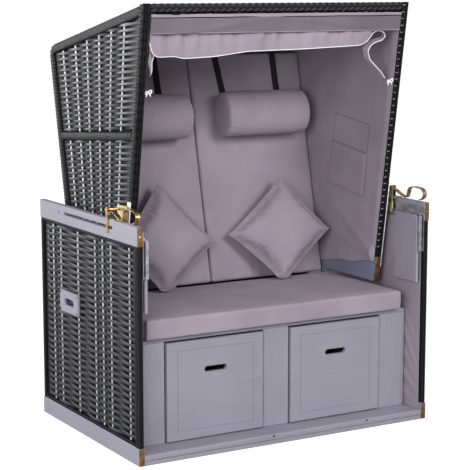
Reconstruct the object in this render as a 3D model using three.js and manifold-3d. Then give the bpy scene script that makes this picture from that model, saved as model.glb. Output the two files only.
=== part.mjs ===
// Hooded beach chair for two: a woven hood that tips back between the two side panels of a wooden base.
// Millimetres. X points to the right, Y to the back, Z up. The origin is under the middle of the base.
import * as THREE from "three";
import { mergeVertices } from "three/addons/utils/BufferGeometryUtils.js";
import Module from "manifold-3d";

const wasm = await Module();
wasm.setup();

// Driving dimensions
const WIDTH = 1180; // over the two side panels
const DEPTH = 790; // of the side panels, front to back
const PANEL_HEIGHT = 803;
const PANEL_THICKNESS = 22;
const HOOD_PLAY = 40; // between the hood and each side panel
const HOOD_WALL = 27; // thickness of the hood's side frames
const BOX_PLAY = 11; // between the seat box and each side panel
const BOX_SETBACK = 97; // from the front of the side panels to the seat box
const SEAT_TOP = 401; // top of the seat board
const CUSHION = 76; // thickness of the seat cushion
const FLOOR_TOP = 34; // of the floor board and the front sill
const SILL_DEPTH = 131;
const HOOD_GAP = 9; // between the seat cushion and the height of the hood's lower edge
const HOOD_HEIGHT = 1033; // from its lower edge to the plaited rail over the opening
const CLEAR = 0.3; // air between pieces that touch
const EASE = 1.5; // flat on the edges of painted boards
const ARC_STEPS = 3;
const MERGE = 1e-4; // vertices closer than this are one
const CREST_RADIUS = 42; // of the hood's upper rear corner
const BACK_LEAN = THREE.MathUtils.degToRad(12.7);
const PAD_THICKNESS = 55; // of the back pads

const INNER = WIDTH / 2 - PANEL_THICKNESS; // inner face of a side panel
const OUTER = WIDTH / 2;
const FRONT = -DEPTH / 2;
const REAR = DEPTH / 2;
const HOOD_OUTER = INNER - HOOD_PLAY;
const HOOD_INNER = HOOD_OUTER - HOOD_WALL;
const BOX_HALF = INNER - BOX_PLAY;
const BOX_FRONT = FRONT + BOX_SETBACK;
const SILL_BACK = FRONT + SILL_DEPTH;
const CUSHION_TOP = SEAT_TOP + CUSHION;
const HOOD_LOW = CUSHION_TOP + HOOD_GAP;
const X = new THREE.Vector3(1, 0, 0);
const Y = new THREE.Vector3(0, 1, 0);
const Z = new THREE.Vector3(0, 0, 1);

// Places in the side view of the hood at rest: shares of the base's depth and of the hood's height
const sideShares = {
  foot: [-0.22152, 0], // lower front corner
  brow: [-0.42405, 1], // upper front corner
  heel: [0.32658, 0], // lower rear corner
  crest: [0.55316, 0.84414], // upper rear corner, before it is rounded
  pivot: [0.21519, -0.05421], // the hood turns on this line
  backFoot: [0.1962, -0.00194], // lower front edge of the back pads
  middleRear: [0.44557, 0.51597], // lower edge of the middle rail
  middleFront: [-0.24684, 0.56341],
  liningFront: [-0.22152, 0.07454], // lower edge of the cloth on the sides
  liningRear: [0.15063, 0.03872],
  pocket: [[-0.14177, 0.3001], [0.16582, 0.33301], [0.09367, 0.59148], [-0.18228, 0.56341]],
};
const inView = ([depthShare, heightShare]) => [depthShare * DEPTH, HOOD_LOW + heightShare * HOOD_HEIGHT];
const FOOT = inView(sideShares.foot);
const BROW = inView(sideShares.brow);
const HEEL = inView(sideShares.heel);
const CREST = inView(sideShares.crest);
const PIVOT = inView(sideShares.pivot);
const BACK_FOOT = inView(sideShares.backFoot);

const paint = { color: 0xb1aec2, roughness: 0.55, metalness: 0 };
const shadedPaint = { color: 0x7a7f92, roughness: 0.6, metalness: 0 };
const rattan = { color: 0x26272b, roughness: 0.42, metalness: 0 };
const fabric = { color: 0x8f8490, roughness: 0.95, metalness: 0 };
const brass = { color: 0xb08348, roughness: 0.35, metalness: 0.9 };
const zinc = { color: 0xc9c58a, roughness: 0.35, metalness: 0.8 };
const steel = { color: 0xdcdce0, roughness: 0.4, metalness: 0.7 };

// Shapes and solids

const shapeOf = (points) => new THREE.Shape(points.map(([a, b]) => new THREE.Vector2(a, b)));
const rectangle = ([a0, a1], [b0, b1]) => shapeOf([[a0, b0], [a1, b0], [a1, b1], [a0, b1]]);

function roundedRectangle([a0, a1], [b0, b1], radius, Kind = THREE.Shape) {
  const outline = new Kind();
  const quarter = Math.PI / 2;
  outline.absarc(a1 - radius, b0 + radius, radius, -quarter, 0);
  outline.absarc(a1 - radius, b1 - radius, radius, 0, quarter);
  outline.absarc(a0 + radius, b1 - radius, radius, quarter, 2 * quarter);
  outline.absarc(a0 + radius, b0 + radius, radius, 2 * quarter, 3 * quarter);
  outline.closePath();
  return outline;
}

function disc(a, b, radius, Kind = THREE.Shape) {
  const outline = new Kind();
  outline.absarc(a, b, radius, 0, Math.PI);
  outline.absarc(a, b, radius, Math.PI, 2 * Math.PI);
  return outline;
}

// A prism whose outer edges are broken by a flat of the given size
function prism(profile, length, ease) {
  const bevel = { bevelEnabled: ease > 0, bevelThickness: ease, bevelSize: ease };
  const steps = { bevelOffset: -ease, bevelSegments: 1, curveSegments: ARC_STEPS };
  const options = { depth: length - 2 * ease, ...bevel, ...steps };
  return new THREE.ExtrudeGeometry(profile, options).translate(0, 0, ease);
}

// Profiles drawn in (y, z), (x, z) and (x, y), pushed along the third direction
function alongX(profile, [x0, x1], ease = 0) {
  const turn = new THREE.Matrix4().makeBasis(Y, Z, X);
  return prism(profile, x1 - x0, ease).applyMatrix4(turn).translate(x0, 0, 0);
}

function alongY(profile, [y0, y1], ease = 0) {
  const turn = new THREE.Matrix4().makeBasis(X, Z, Y.clone().negate());
  return prism(profile, y1 - y0, ease).applyMatrix4(turn).translate(0, y1, 0);
}

function alongZ(profile, [z0, z1], ease = 0) {
  return prism(profile, z1 - z0, ease).translate(0, 0, z0);
}

const board = (x, y, z, ease = EASE) => alongZ(rectangle(x, y), z, ease);
const block = (x, y, z) => alongZ(rectangle(x, y), z);

// Positions only, each triangle with its own three corners
function bare(geometry) {
  const loose = geometry.index ? geometry.toNonIndexed() : geometry;
  return new THREE.BufferGeometry().setAttribute("position", loose.getAttribute("position"));
}

function toSolid(geometry) {
  const merged = mergeVertices(bare(geometry), MERGE);
  const vertProperties = merged.getAttribute("position").array;
  const triVerts = new Uint32Array(merged.index.array);
  return new wasm.Manifold(new wasm.Mesh({ numProp: 3, vertProperties, triVerts }));
}

function toGeometry(solid) {
  const mesh = solid.getMesh();
  const places = new THREE.BufferAttribute(mesh.vertProperties, 3);
  const corners = new THREE.BufferAttribute(mesh.triVerts, 1);
  return new THREE.BufferGeometry().setAttribute("position", places).setIndex(corners);
}

const cut = (body, ...tools) =>
  toGeometry(tools.reduce((solid, tool) => solid.subtract(toSolid(tool)), toSolid(body)));
const fuse = (body, ...others) =>
  toGeometry(others.reduce((solid, other) => solid.add(toSolid(other)), toSolid(body)));
const common = (body, other) => toGeometry(toSolid(body).intersect(toSolid(other)));

// A closed skin over rings of points, each end closed by a fan from its middle or a given apex
function loft(rings, apexes = []) {
  const count = rings[0].length;
  const middle = (ring) =>
    ring.reduce((sum, p) => sum.add(p), new THREE.Vector3()).divideScalar(count);
  const points = [...rings.flat(), apexes[0] ?? middle(rings[0]), apexes[1] ?? middle(rings.at(-1))];
  const [first, last] = [rings.length * count, rings.length * count + 1];
  const faces = [];
  for (let k = 0; k < count; k++) {
    const next = (k + 1) % count;
    faces.push(first, next, k);
    for (let r = 0; r < rings.length - 1; r++) {
      const [a, b] = [r * count, (r + 1) * count];
      faces.push(a + k, a + next, b + next, a + k, b + next, b + k);
    }
    faces.push(last, last - 1 - count + k, last - 1 - count + next);
  }
  return new THREE.BufferGeometry().setFromPoints(points).setIndex(faces);
}

// A flat bar bent along a smooth path of (y, z) places, as a profile
function bandProfile(path, thickness, samples) {
  const curve = new THREE.SplineCurve(path.map(([a, b]) => new THREE.Vector2(a, b)));
  const sides = [[], []];
  for (let i = 0; i <= samples; i++) {
    const place = curve.getPoint(i / samples);
    const along = curve.getTangent(i / samples);
    sides[0].push([place.x - along.y * thickness / 2, place.y + along.x * thickness / 2]);
    sides[1].unshift([place.x + along.y * thickness / 2, place.y - along.x * thickness / 2]);
  }
  return shapeOf([...sides[0], ...sides[1]]);
}

// Lines in the side view
const shift = (line, dy, dz) => line.map(([y, z]) => [y + dy, z + dz]);

function meet([a, b], [c, d]) {
  const [r0, r1, s0, s1] = [b[0] - a[0], b[1] - a[1], d[0] - c[0], d[1] - c[1]];
  const t = ((c[0] - a[0]) * s1 - (c[1] - a[1]) * s0) / (r0 * s1 - r1 * s0);
  return [a[0] + t * r0, a[1] + t * r1];
}

const level = (z) => [[FRONT, z], [REAR, z]];
const upright = (y) => [[y, 0], [y, PANEL_HEIGHT]];
const mix = (a, b, share) => a.map((value, i) => value + (b[i] - value) * share);
const frontLine = [FOOT, BROW];
const rearLine = [HEEL, CREST];
const roofLine = [BROW, CREST];

// The tree of groups: what moves together lies in one group
const chair = new THREE.Group();
const base = new THREE.Group();
const hood = new THREE.Group();
const fittings = new THREE.Group();
chair.add(base, hood, fittings);

function piece(group, name, geometry, finish) {
  geometry.computeVertexNormals();
  const mesh = new THREE.Mesh(geometry, new THREE.MeshStandardMaterial(finish));
  mesh.name = name;
  group.add(mesh);
  return mesh;
}

// The right-hand piece as drawn, and the left-hand one as its mirror image
function bothSides(group, name, geometry, finish) {
  piece(group, `right_${name}`, geometry, finish);
  piece(group, `left_${name}`, geometry, finish).scale.x = -1;
}

// Woven panels

const weaveSizes = {
  strand: 2.4, // thickness of a strand
  stake: 4.5, // thickness of a stake
  stakeWidth: 6,
  gap: 5, // between one strand and the next
  air: 0.5, // between a strand and the stake that it goes round
  bite: 1, // how far ends are wound into the frame
};

// One strand: a band that swings in front of one stake and behind the next
function strand([u0, u1], crossings, phase, [v0, v1]) {
  const { strand: thickness, stake, air } = weaveSizes;
  const swing = (stake + thickness) / 2 + air;
  const turns = crossings.map((u, i) => [u, (i + phase) % 2 ? swing : -swing]);
  const route = [[u0, 0], ...turns, [u1, 0]];
  const front = route.map(([u, w]) => [u, w - thickness / 2]);
  const back = route.map(([u, w]) => [u, w + thickness / 2]).reverse();
  const turn = new THREE.Matrix4().makeBasis(X, Z.clone().negate(), Y);
  return prism(shapeOf([...front, ...back]), v1 - v0, 0).applyMatrix4(turn).translate(0, v0, 0);
}

// The stretch of u that a convex window leaves free at height v
function spanAt(window, v) {
  const hits = [];
  window.forEach(([u, w], i) => {
    const [nextU, nextV] = window[(i + 1) % window.length];
    if ((w - v) * (nextV - v) < 0) hits.push(u + ((nextU - u) * (v - w)) / (nextV - w));
  });
  return [Math.min(...hits), Math.max(...hits)];
}

// Stakes and strands that fill a window: its corners run low left, low right, high right, high left
function woven(window, stakeShares, pitch) {
  const { stake, stakeWidth, gap, bite } = weaveSizes;
  const [lowLeft, lowRight, highRight, highLeft] = window;
  const heights = window.map(([, v]) => v);
  const [low, high] = [Math.min(...heights), Math.max(...heights)];
  const stakes = stakeShares.map((share) => [mix(lowLeft, lowRight, share), mix(highLeft, highRight, share)]);
  const solids = stakes.map(([[ua, va], [ub, vb]]) => {
    const half = stakeWidth / 2;
    const [from, to] = [va - bite, vb + bite];
    const corners = [[ua - half, from], [ua + half, from], [ub + half, to], [ub - half, to]];
    return prism(shapeOf(corners), stake, 0).translate(0, 0, -stake / 2);
  });
  const rows = Math.round((high - low) / pitch);
  for (let row = 0; row < rows; row++) {
    const v0 = low + ((high - low) * row) / rows + gap / 2;
    const v1 = low + ((high - low) * (row + 1)) / rows - gap / 2;
    const [a, b] = [spanAt(window, v0), spanAt(window, v1)];
    const span = [Math.min(a[0], b[0]) - bite, Math.max(a[1], b[1]) + bite];
    const crossings = stakes
      .map(([[ua, va], [ub, vb]]) => ua + ((ub - ua) * ((v0 + v1) / 2 - va)) / (vb - va))
      .filter((u) => u > span[0] + stakeWidth * 2 && u < span[1] - stakeWidth * 2);
    if (crossings.length > 0) solids.push(strand(span, crossings, row % 2, [v0, v1]));
  }
  return solids;
}

// Soft forms

// Rings of a boxed cushion: a rounded outline whose sides pull in, stacked from the bottom to the crown
function cushion({ width, length, thickness, square, tuck, roll, crown, points }) {
  const ring = (inset, z) => {
    const [a, b] = [width / 2 - inset, length / 2 - inset];
    return Array.from({ length: points }, (_, i) => {
      const angle = (2 * Math.PI * (i + 1 / 2)) / points;
      const u = Math.sign(Math.cos(angle)) * Math.abs(Math.cos(angle)) ** (2 / square);
      const v = Math.sign(Math.sin(angle)) * Math.abs(Math.sin(angle)) ** (2 / square);
      return new THREE.Vector3(u * (a - tuck * (1 - v * v)), v * (b - tuck * (1 - u * u)), z);
    });
  };
  const half = thickness / 2;
  const middle = Math.min(width, length) / 4;
  const crownShare = 0.8;
  const rings = [
    ring(roll, -half),
    ring(roll / 4, -half + roll / 2),
    ring(0, 0),
    ring(roll / 4, half - roll / 2),
    ring(roll, half),
    ring(middle, half + crown * crownShare),
  ];
  return loft(rings, [new THREE.Vector3(0, 0, -half), new THREE.Vector3(0, 0, half + crown)]);
}

// A stuffed pillow with four drawn-out corners, one of them pointing down
function pillow({ halfWidth, halfHeight, thickness, pinchShare, points }) {
  const ringShares = [0.3, 0.6, 0.85, 1];
  const ring = (share, side) =>
    Array.from({ length: points }, (_, i) => {
      const angle = (2 * Math.PI * i) / points;
      const turned = angle + Math.PI / 4;
      const square = 1 / Math.max(Math.abs(Math.cos(turned)), Math.abs(Math.sin(turned))) / Math.SQRT2;
      const corner = (square * Math.SQRT2 - 1) / (Math.SQRT2 - 1);
      const edge = square * (1 - pinchShare * (1 - corner));
      const reach = share * (Math.SQRT1_2 + (edge - Math.SQRT1_2) * share);
      const bulge = (1 - share ** 2) ** (2 / 3) * (thickness / 2) * side;
      const [u, v] = [Math.cos(angle) * reach * halfWidth, Math.sin(angle) * reach * halfHeight];
      return new THREE.Vector3(u, v, bulge);
    });
  const back = ringShares.map((share) => ring(share, -1));
  const front = ringShares.slice(0, -1).reverse().map((share) => ring(share, 1));
  const apex = new THREE.Vector3(0, 0, thickness / 2);
  return loft([...back, ...front], [apex.clone().negate(), apex]);
}

// Base: floor, sill and side panels

const rail = { bottom: 60, top: 65 }; // heights of the two rails of a side panel
const topRailZ = [PANEL_HEIGHT - rail.top, PANEL_HEIGHT];
const cap = { thickness: 1.5, width: 18 };
const post = { depth: 34, ease: 5 };
const sidePanel = { recess: 3, pitch: 52, bar: 12 };
const lining = { thickness: 4, gap: 1 };
const sideStakeShares = [0.083, 0.278, 0.368, 0.451, 0.646, 0.849, 0.939];
const sill = { nose: 6, groove: 3, bead: 14 };
const floor = { board: 12, batten: 60, battens: 5 };
const runner = { width: 20, height: 9 };
const railY = [FRONT + cap.thickness + CLEAR, REAR];

// The hood's slotted bar, the bolt through it, the pin behind the bolt and the slot that the pin rides in
const bar = { inset: 3, width: 20, below: 39, above: 58, slotWidth: 9, end: 24, thickness: 4 };
const pin = { behind: 31, radius: 3, lift: 3.2, air: 0.4 };
const slot = { below: 27, height: 10, ahead: 35, behind: 360 }; // below the rail's top, round the pin
const keep = { behind: 34, width: 26, height: 14, depth: 2 }; // shallow square recess behind the slot
const slotMiddle = PANEL_HEIGHT - slot.below;
const boltY = meet(shift(frontLine, bar.inset + bar.width / 2, 0), level(slotMiddle))[0];
const pinY = boltY + pin.behind;
const slotY = [pinY - slot.ahead, pinY + slot.behind];
const keepY = slotY[1] + keep.behind;
const barFace = HOOD_OUTER + CLEAR + bar.thickness;

// Slot with round ends, and teeth of the given height standing on its lower edge
function slotOutline(teeth, toothHeight, toothWidth) {
  const half = slot.height / 2;
  const [low, high] = [slotMiddle - half, slotMiddle + half];
  const outline = new THREE.Path();
  outline.absarc(slotY[0] + half, slotMiddle, half, Math.PI / 2, (3 * Math.PI) / 2);
  for (const y of teeth) {
    outline.lineTo(y - toothWidth / 2, low);
    outline.lineTo(y - toothWidth / 2, low + toothHeight);
    outline.lineTo(y + toothWidth / 2, low + toothHeight);
    outline.lineTo(y + toothWidth / 2, low);
  }
  outline.absarc(slotY[1] - half, slotMiddle, half, -Math.PI / 2, Math.PI / 2);
  outline.lineTo(slotY[0] + half, high);
  return outline;
}

// The floor board on its battens, with the four runners that the drawers slide on
function floorBoard() {
  const half = INNER - CLEAR;
  const depth = [SILL_BACK + CLEAR, REAR - PANEL_THICKNESS - CLEAR];
  const under = FLOOR_TOP - floor.board;
  const step = (2 * half - floor.batten) / (floor.battens - 1);
  const outline = new THREE.Shape();
  outline.moveTo(half, FLOOR_TOP);
  outline.lineTo(-half, FLOOR_TOP);
  for (let i = 0; i < floor.battens; i++) {
    const left = -half + step * i;
    if (i > 0) outline.lineTo(left, under);
    outline.lineTo(left, 0);
    outline.lineTo(left + floor.batten, 0);
    if (i < floor.battens - 1) outline.lineTo(left + floor.batten, under);
  }
  const runners = [drawerX[0], drawerX[1] - runner.width].flatMap((x) =>
    [x, -x - runner.width].map((from) =>
      block([from, from + runner.width], [depth[0], drawerRear], [under, FLOOR_TOP + runner.height])));
  return fuse(alongY(outline, depth), ...runners);
}

function frontSill() {
  const { nose, groove, bead } = sill;
  const profile = new THREE.Shape();
  profile.moveTo(SILL_BACK, 0);
  profile.lineTo(SILL_BACK, FLOOR_TOP);
  profile.lineTo(FRONT + nose + groove, FLOOR_TOP);
  profile.quadraticCurveTo(FRONT + groove, FLOOR_TOP, FRONT + groove, FLOOR_TOP - nose);
  profile.lineTo(FRONT + groove, bead + groove);
  profile.lineTo(FRONT + groove + groove, bead + groove);
  profile.lineTo(FRONT + groove + groove, bead);
  profile.lineTo(FRONT, bead);
  profile.lineTo(FRONT, 0);
  return alongX(profile, [-INNER + CLEAR, INNER - CLEAR]);
}

function topRail() {
  const profile = rectangle(railY, topRailZ);
  profile.holes.push(slotOutline([], 0, 0));
  const recess = block(
    [OUTER - keep.depth, OUTER + keep.depth],
    [keepY - keep.width / 2, keepY + keep.width / 2],
    [slotMiddle - keep.height / 2, slotMiddle + keep.height / 2],
  );
  return cut(alongX(profile, [INNER, OUTER], EASE), recess);
}

// Grip plate on the outside of each panel: fingers go through its oblong hole and the weave behind it
const grip = { width: 155, rearGap: 169, height: 78, below: 305, sunk: 8.5, proud: 2, ease: 2, corner: 6 };
const gripHole = { length: 78, height: 24 };
const gripY = [REAR - grip.rearGap - grip.width, REAR - grip.rearGap];
const gripZ = [PANEL_HEIGHT - grip.below - grip.height, PANEL_HEIGHT - grip.below];

function fingerHole(Kind = THREE.Shape) {
  const [y, z] = [(gripY[0] + gripY[1]) / 2, (gripZ[0] + gripZ[1]) / 2];
  const [long, high] = [gripHole.length / 2, gripHole.height / 2];
  return roundedRectangle([y - long, y + long], [z - high, z + high], high, Kind);
}

// A woven side panel: posts and thin head and foot bars, all wound with strands, and the weave between
function basePanel() {
  const z = [rail.bottom + CLEAR, topRailZ[0] - CLEAR];
  const outline = rectangle([FRONT, REAR], z);
  const [front, rear] = [FRONT + post.depth, REAR - post.depth];
  const [low, high] = [z[0] + sidePanel.bar, z[1] - sidePanel.bar];
  outline.holes.push(new THREE.Path(rectangle([front, rear], [low, high]).getPoints()));
  const ring = alongX(outline, [INNER, OUTER], post.ease);
  const window = [[front, low], [rear, low], [rear, high], [front, high]];
  const middle = (INNER + OUTER) / 2 - sidePanel.recess;
  const turn = new THREE.Matrix4().makeBasis(Y, Z, X).setPosition(middle, 0, 0);
  const weave = woven(window, sideStakeShares, sidePanel.pitch);
  const panel = fuse(ring, ...weave.map((solid) => solid.applyMatrix4(turn)));
  return cut(panel, alongX(fingerHole(), [INNER, OUTER]));
}

function sideLining() {
  const face = INNER - lining.gap;
  const y = [stayY[1] + stayPin.lug + CLEAR, REAR - post.depth - CLEAR];
  return board([face - lining.thickness, face], y, [FLOOR_TOP + CLEAR, topRailZ[0]], lining.gap);
}

function edgeCap(z) {
  const inset = (PANEL_THICKNESS - cap.width) / 2;
  return block([INNER + inset, OUTER - inset], [FRONT, FRONT + cap.thickness], z);
}

function carryGrip() {
  const plate = roundedRectangle(gripY, gripZ, grip.corner);
  plate.holes.push(fingerHole(THREE.Path));
  return alongX(plate, [OUTER - grip.sunk, OUTER + grip.proud], grip.ease);
}

// Base: low woven back

const baseBack = { top: 440, bar: 40, low: 60, side: 16, pitch: 48 };
const backStakeShares = [0.06, 0.18, 0.3, 0.42, 0.5, 0.58, 0.7, 0.82, 0.94];

// A flat woven panel: a wound frame round its windows, drawn in its own (u, v) plane
function wovenFrame(outer, windows, thickness, ease, stakeShares, pitch) {
  const outline = shapeOf(outer);
  windows.forEach((window) => outline.holes.push(new THREE.Path(shapeOf(window).getPoints())));
  const ring = prism(outline, thickness, ease).translate(0, 0, -thickness / 2);
  return fuse(ring, ...windows.flatMap((window) => woven(window, stakeShares, pitch)));
}

const cornersOf = ([a0, a1], [b0, b1]) => [[a0, b0], [a1, b0], [a1, b1], [a0, b1]];

function baseBackPanel() {
  const half = INNER - CLEAR;
  const windowX = [-half + baseBack.side, half - baseBack.side];
  const window = cornersOf(windowX, [baseBack.low, baseBack.top - baseBack.bar]);
  const outer = cornersOf([-half, half], [0, baseBack.top]);
  const panel = wovenFrame(outer, [window], PANEL_THICKNESS, post.ease, backStakeShares, baseBack.pitch);
  const turn = new THREE.Matrix4().makeBasis(X, Z, Y.clone().negate());
  return panel.applyMatrix4(turn).translate(0, REAR - PANEL_THICKNESS / 2, 0);
}

// Seat box

const box = {
  panel: 18, // thickness of its boards
  seat: 13, // thickness of the seat board
  back: 130, // front face of the back wall
  sideEnd: 230, // rear end of the side walls, which carry the pivots
  openingFrom: 51, // of the drawer openings, from the middle
  stile: 113, // beside each opening
};
const boxTop = SEAT_TOP - box.seat;
const boxZ = [FLOOR_TOP + CLEAR, boxTop - CLEAR];
const stileBack = BOX_FRONT + box.panel;
const wallInner = BOX_HALF - box.panel;
const openingTo = BOX_HALF - box.stile;

// A side wall with the broad stile beside the drawer
function seatSide() {
  const plan = [
    [BOX_HALF, BOX_FRONT], [BOX_HALF, box.sideEnd], [wallInner, box.sideEnd],
    [wallInner, stileBack], [openingTo, stileBack], [openingTo, BOX_FRONT],
  ];
  return alongZ(shapeOf(plan), boxZ, EASE);
}

// The stile between the drawers, the middle wall and the back wall
function seatDivider() {
  const [stile, web, back] = [box.openingFrom, box.panel / 2, wallInner - CLEAR];
  const half = [
    [stile, BOX_FRONT], [stile, stileBack], [web, stileBack], [web, box.back],
    [back, box.back], [back, box.back + box.panel],
  ];
  const otherHalf = half.map(([x, y]) => [-x, y]).reverse();
  return alongZ(shapeOf([...half, ...otherHalf]), boxZ, EASE);
}

function seatBoard() {
  return board([-BOX_HALF, BOX_HALF], [BOX_FRONT, box.back + box.panel], [boxTop, SEAT_TOP]);
}

const seatPad = { nose: 29, backGap: 5, sideGap: 35, square: 9, tuck: 4, roll: 16, crown: 3, points: 40 };

function seatCushion() {
  const [front, rear] = [BOX_FRONT - seatPad.nose, BACK_FOOT[0] - seatPad.backGap];
  const thickness = CUSHION - CLEAR - seatPad.crown;
  const size = { width: 2 * (BOX_HALF - seatPad.sideGap), length: rear - front, thickness };
  const lift = SEAT_TOP + CLEAR + thickness / 2;
  return cushion({ ...size, ...seatPad }).translate(0, (front + rear) / 2, lift);
}

// Pillows that lean on the back pads, standing on one corner

const throwPillow = { halfHeight: 198, thickness: 128, pinchShare: 0.1, points: 24, sink: 1 };
const pillowGap = { right: 17, between: 40, left: 57, rightBack: 38, leftBack: 42 };
const pillowLean = THREE.MathUtils.degToRad(17);
const halfWidth = (2 * HOOD_INNER - pillowGap.right - pillowGap.between - pillowGap.left) / 4;

function thrown({ x, y, yaw }) {
  const standing = pillow({ halfWidth, ...throwPillow }).rotateX(Math.PI / 2 - pillowLean);
  const height = throwPillow.halfHeight * Math.cos(pillowLean);
  return standing.rotateZ(yaw).translate(x, y, CUSHION_TOP - throwPillow.sink + height);
}

const rightPillow = {
  x: HOOD_INNER - pillowGap.right - halfWidth,
  y: BACK_FOOT[0] - pillowGap.rightBack,
  yaw: THREE.MathUtils.degToRad(-10.5),
};
const leftPillow = {
  x: pillowGap.left + halfWidth - HOOD_INNER,
  y: BACK_FOOT[0] - pillowGap.leftBack,
  yaw: THREE.MathUtils.degToRad(4),
};

// Drawers

const drawer = {
  proud: 9, // of the box
  thickness: 18,
  air: 6, // round the front board
  bottom: 4, // above the floor
  play: [21, 22], // between the opening and the drawer's box, inner and outer side
  rearGap: 30,
  topGap: 48,
  wall: 10,
  floor: 8,
  inset: [40, 30], // of the groove that frames the front
  groove: [3, 1.5],
  finger: [88, 20],
  fingerBelow: 112, // under the top of the box
};
const drawerFace = BOX_FRONT - drawer.proud;
const drawerX = [box.openingFrom + drawer.play[0], openingTo - drawer.play[1]];
const drawerRear = box.back - drawer.rearGap;

function drawerFront() {
  const x = [box.openingFrom + drawer.air, openingTo - drawer.air];
  const z = [FLOOR_TOP + drawer.bottom, boxTop - drawer.air];
  const middle = (x[0] + x[1]) / 2;
  const fingerZ = boxTop - drawer.fingerBelow;
  const [long, high] = drawer.finger.map((size) => size / 2);
  const outline = rectangle(x, z);
  const hole = [[middle - long, middle + long], [fingerZ - high, fingerZ + high]];
  outline.holes.push(roundedRectangle(...hole, high, THREE.Path));
  const [width, depth] = drawer.groove;
  const [a, b] = drawer.inset;
  const groove = rectangle([x[0] + a, x[1] - a], [z[0] + b, z[1] - b]);
  groove.holes.push(rectangle([x[0] + a + width, x[1] - a - width], [z[0] + b + width, z[1] - b - width]));
  const face = alongY(outline, [drawerFace, drawerFace + drawer.thickness], EASE);
  return cut(face, alongY(groove, [drawerFace - depth, drawerFace + depth]));
}

function drawerBox() {
  const y = [drawerFace + drawer.thickness + CLEAR, drawerRear];
  const [low, high] = [FLOOR_TOP + runner.height + CLEAR, boxTop - drawer.topGap];
  const room = block(
    [drawerX[0] + drawer.wall, drawerX[1] - drawer.wall],
    [y[0] - drawer.wall, y[1] - drawer.wall],
    [low + drawer.floor, high + drawer.wall],
  );
  return cut(block(drawerX, y, [low, high]), room);
}

// Pivots of the hood: a steel plate with a headed pin on each side wall goes through the hood's board

const pivot = {
  pin: 6, // radius
  head: 11,
  headThickness: 4,
  plate: 4,
  half: 19, // half the width of the plate and of the board's ear
  drop: 100, // of the plate, below the pin
  running: 0.5, // air round the pin
};

function pivotBracket() {
  const x = [wallInner - CLEAR - pivot.plate, wallInner - CLEAR];
  const [y, z] = PIVOT;
  const outline = new THREE.Shape();
  outline.moveTo(y - pivot.half, z - pivot.drop);
  outline.lineTo(y + pivot.half, z - pivot.drop);
  outline.absarc(y, z, pivot.half, 0, Math.PI);
  const headEnd = HOOD_OUTER - frame.boardDepth - pivot.running;
  const pin = alongX(disc(y, z, pivot.pin), [headEnd - CLEAR, x[0] + CLEAR]);
  const head = alongX(disc(y, z, pivot.head), [headEnd - pivot.headThickness, headEnd]);
  return fuse(alongX(outline, x), pin, head);
}

// Hood frame, seen from the side

const frame = { post: 36, roof: 38, rear: 34, middle: 34, foot: 12, board: 93, cord: 4, boardDepth: 24 };
const boardTop = HOOD_LOW + frame.board;
const middleRear = inView(sideShares.middleRear);
const middleFront = inView(sideShares.middleFront);
const postLine = shift(frontLine, frame.post, 0);
const innerRear = shift(rearLine, -frame.rear, 0);
const roofUnder = shift(roofLine, 0, -frame.roof);
const middleLow = [middleRear, middleFront];
const middleHigh = shift(middleLow, 0, frame.middle);
const boardLine = level(boardTop);
const footLine = level(boardTop + CLEAR);
const footHigh = level(boardTop + CLEAR + frame.foot);
const hoodX = [HOOD_INNER, HOOD_OUTER];

// The strands of the hood's sides run parallel to the middle rail
const hoodStakeShares = [0.19, 0.325, 0.45, 0.59, 0.735, 0.895];
const hoodWeave = { pitch: 54, centre: HOOD_OUTER - HOOD_WALL / 2 };

// A side of the hood: post, roof rail, rear post and middle rail in one wound frame, and its weave
function hoodSide() {
  const upper = [
    meet(postLine, middleHigh), meet(innerRear, middleHigh),
    meet(innerRear, roofUnder), meet(postLine, roofUnder),
  ];
  const lower = [
    meet(postLine, footHigh), meet(innerRear, footHigh),
    meet(innerRear, middleLow), meet(postLine, middleLow),
  ];
  const before = mix(CREST, BROW, CREST_RADIUS / Math.hypot(CREST[0] - BROW[0], CREST[1] - BROW[1]));
  const after = mix(CREST, HEEL, CREST_RADIUS / Math.hypot(CREST[0] - HEEL[0], CREST[1] - HEEL[1]));
  const outline = new THREE.Shape();
  outline.moveTo(...meet(frontLine, footLine));
  outline.lineTo(...meet(rearLine, footLine));
  outline.lineTo(...after);
  outline.quadraticCurveTo(...CREST, ...before);
  outline.lineTo(...BROW);
  const whole = alongX(outline, hoodX);
  [upper, lower].forEach((window) => outline.holes.push(new THREE.Path(shapeOf(window).getPoints())));
  const slope = (middleFront[1] - middleRear[1]) / (middleFront[0] - middleRear[0]);
  const flatten = ([y, z]) => [y, z - slope * y];
  const turn = new THREE.Matrix4().makeBasis(new THREE.Vector3(0, 1, slope), Z, X);
  turn.setPosition(hoodWeave.centre, 0, 0);
  const weave = [upper, lower]
    .flatMap((window) => woven(window.map(flatten), hoodStakeShares, hoodWeave.pitch))
    .map((solid) => common(solid.applyMatrix4(turn), whole));
  return fuse(alongX(outline, hoodX, frame.cord), ...weave);
}

// The painted board under each side, with the ear that the pivot pin goes through
function hoodBoard() {
  const [y, z] = PIVOT;
  const outline = new THREE.Shape();
  outline.moveTo(...meet(frontLine, level(FOOT[1])));
  outline.lineTo(y - pivot.half, FOOT[1]);
  outline.absarc(y, z, pivot.half, Math.PI, 2 * Math.PI);
  outline.lineTo(y + pivot.half, HEEL[1]);
  outline.lineTo(...HEEL);
  outline.lineTo(...meet(rearLine, boardLine));
  outline.lineTo(...meet(frontLine, boardLine));
  outline.holes.push(disc(y, z, pivot.pin + pivot.running, THREE.Path));
  return alongX(outline, [HOOD_OUTER - frame.boardDepth, HOOD_OUTER], EASE);
}

// Roof and back of the hood

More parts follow.
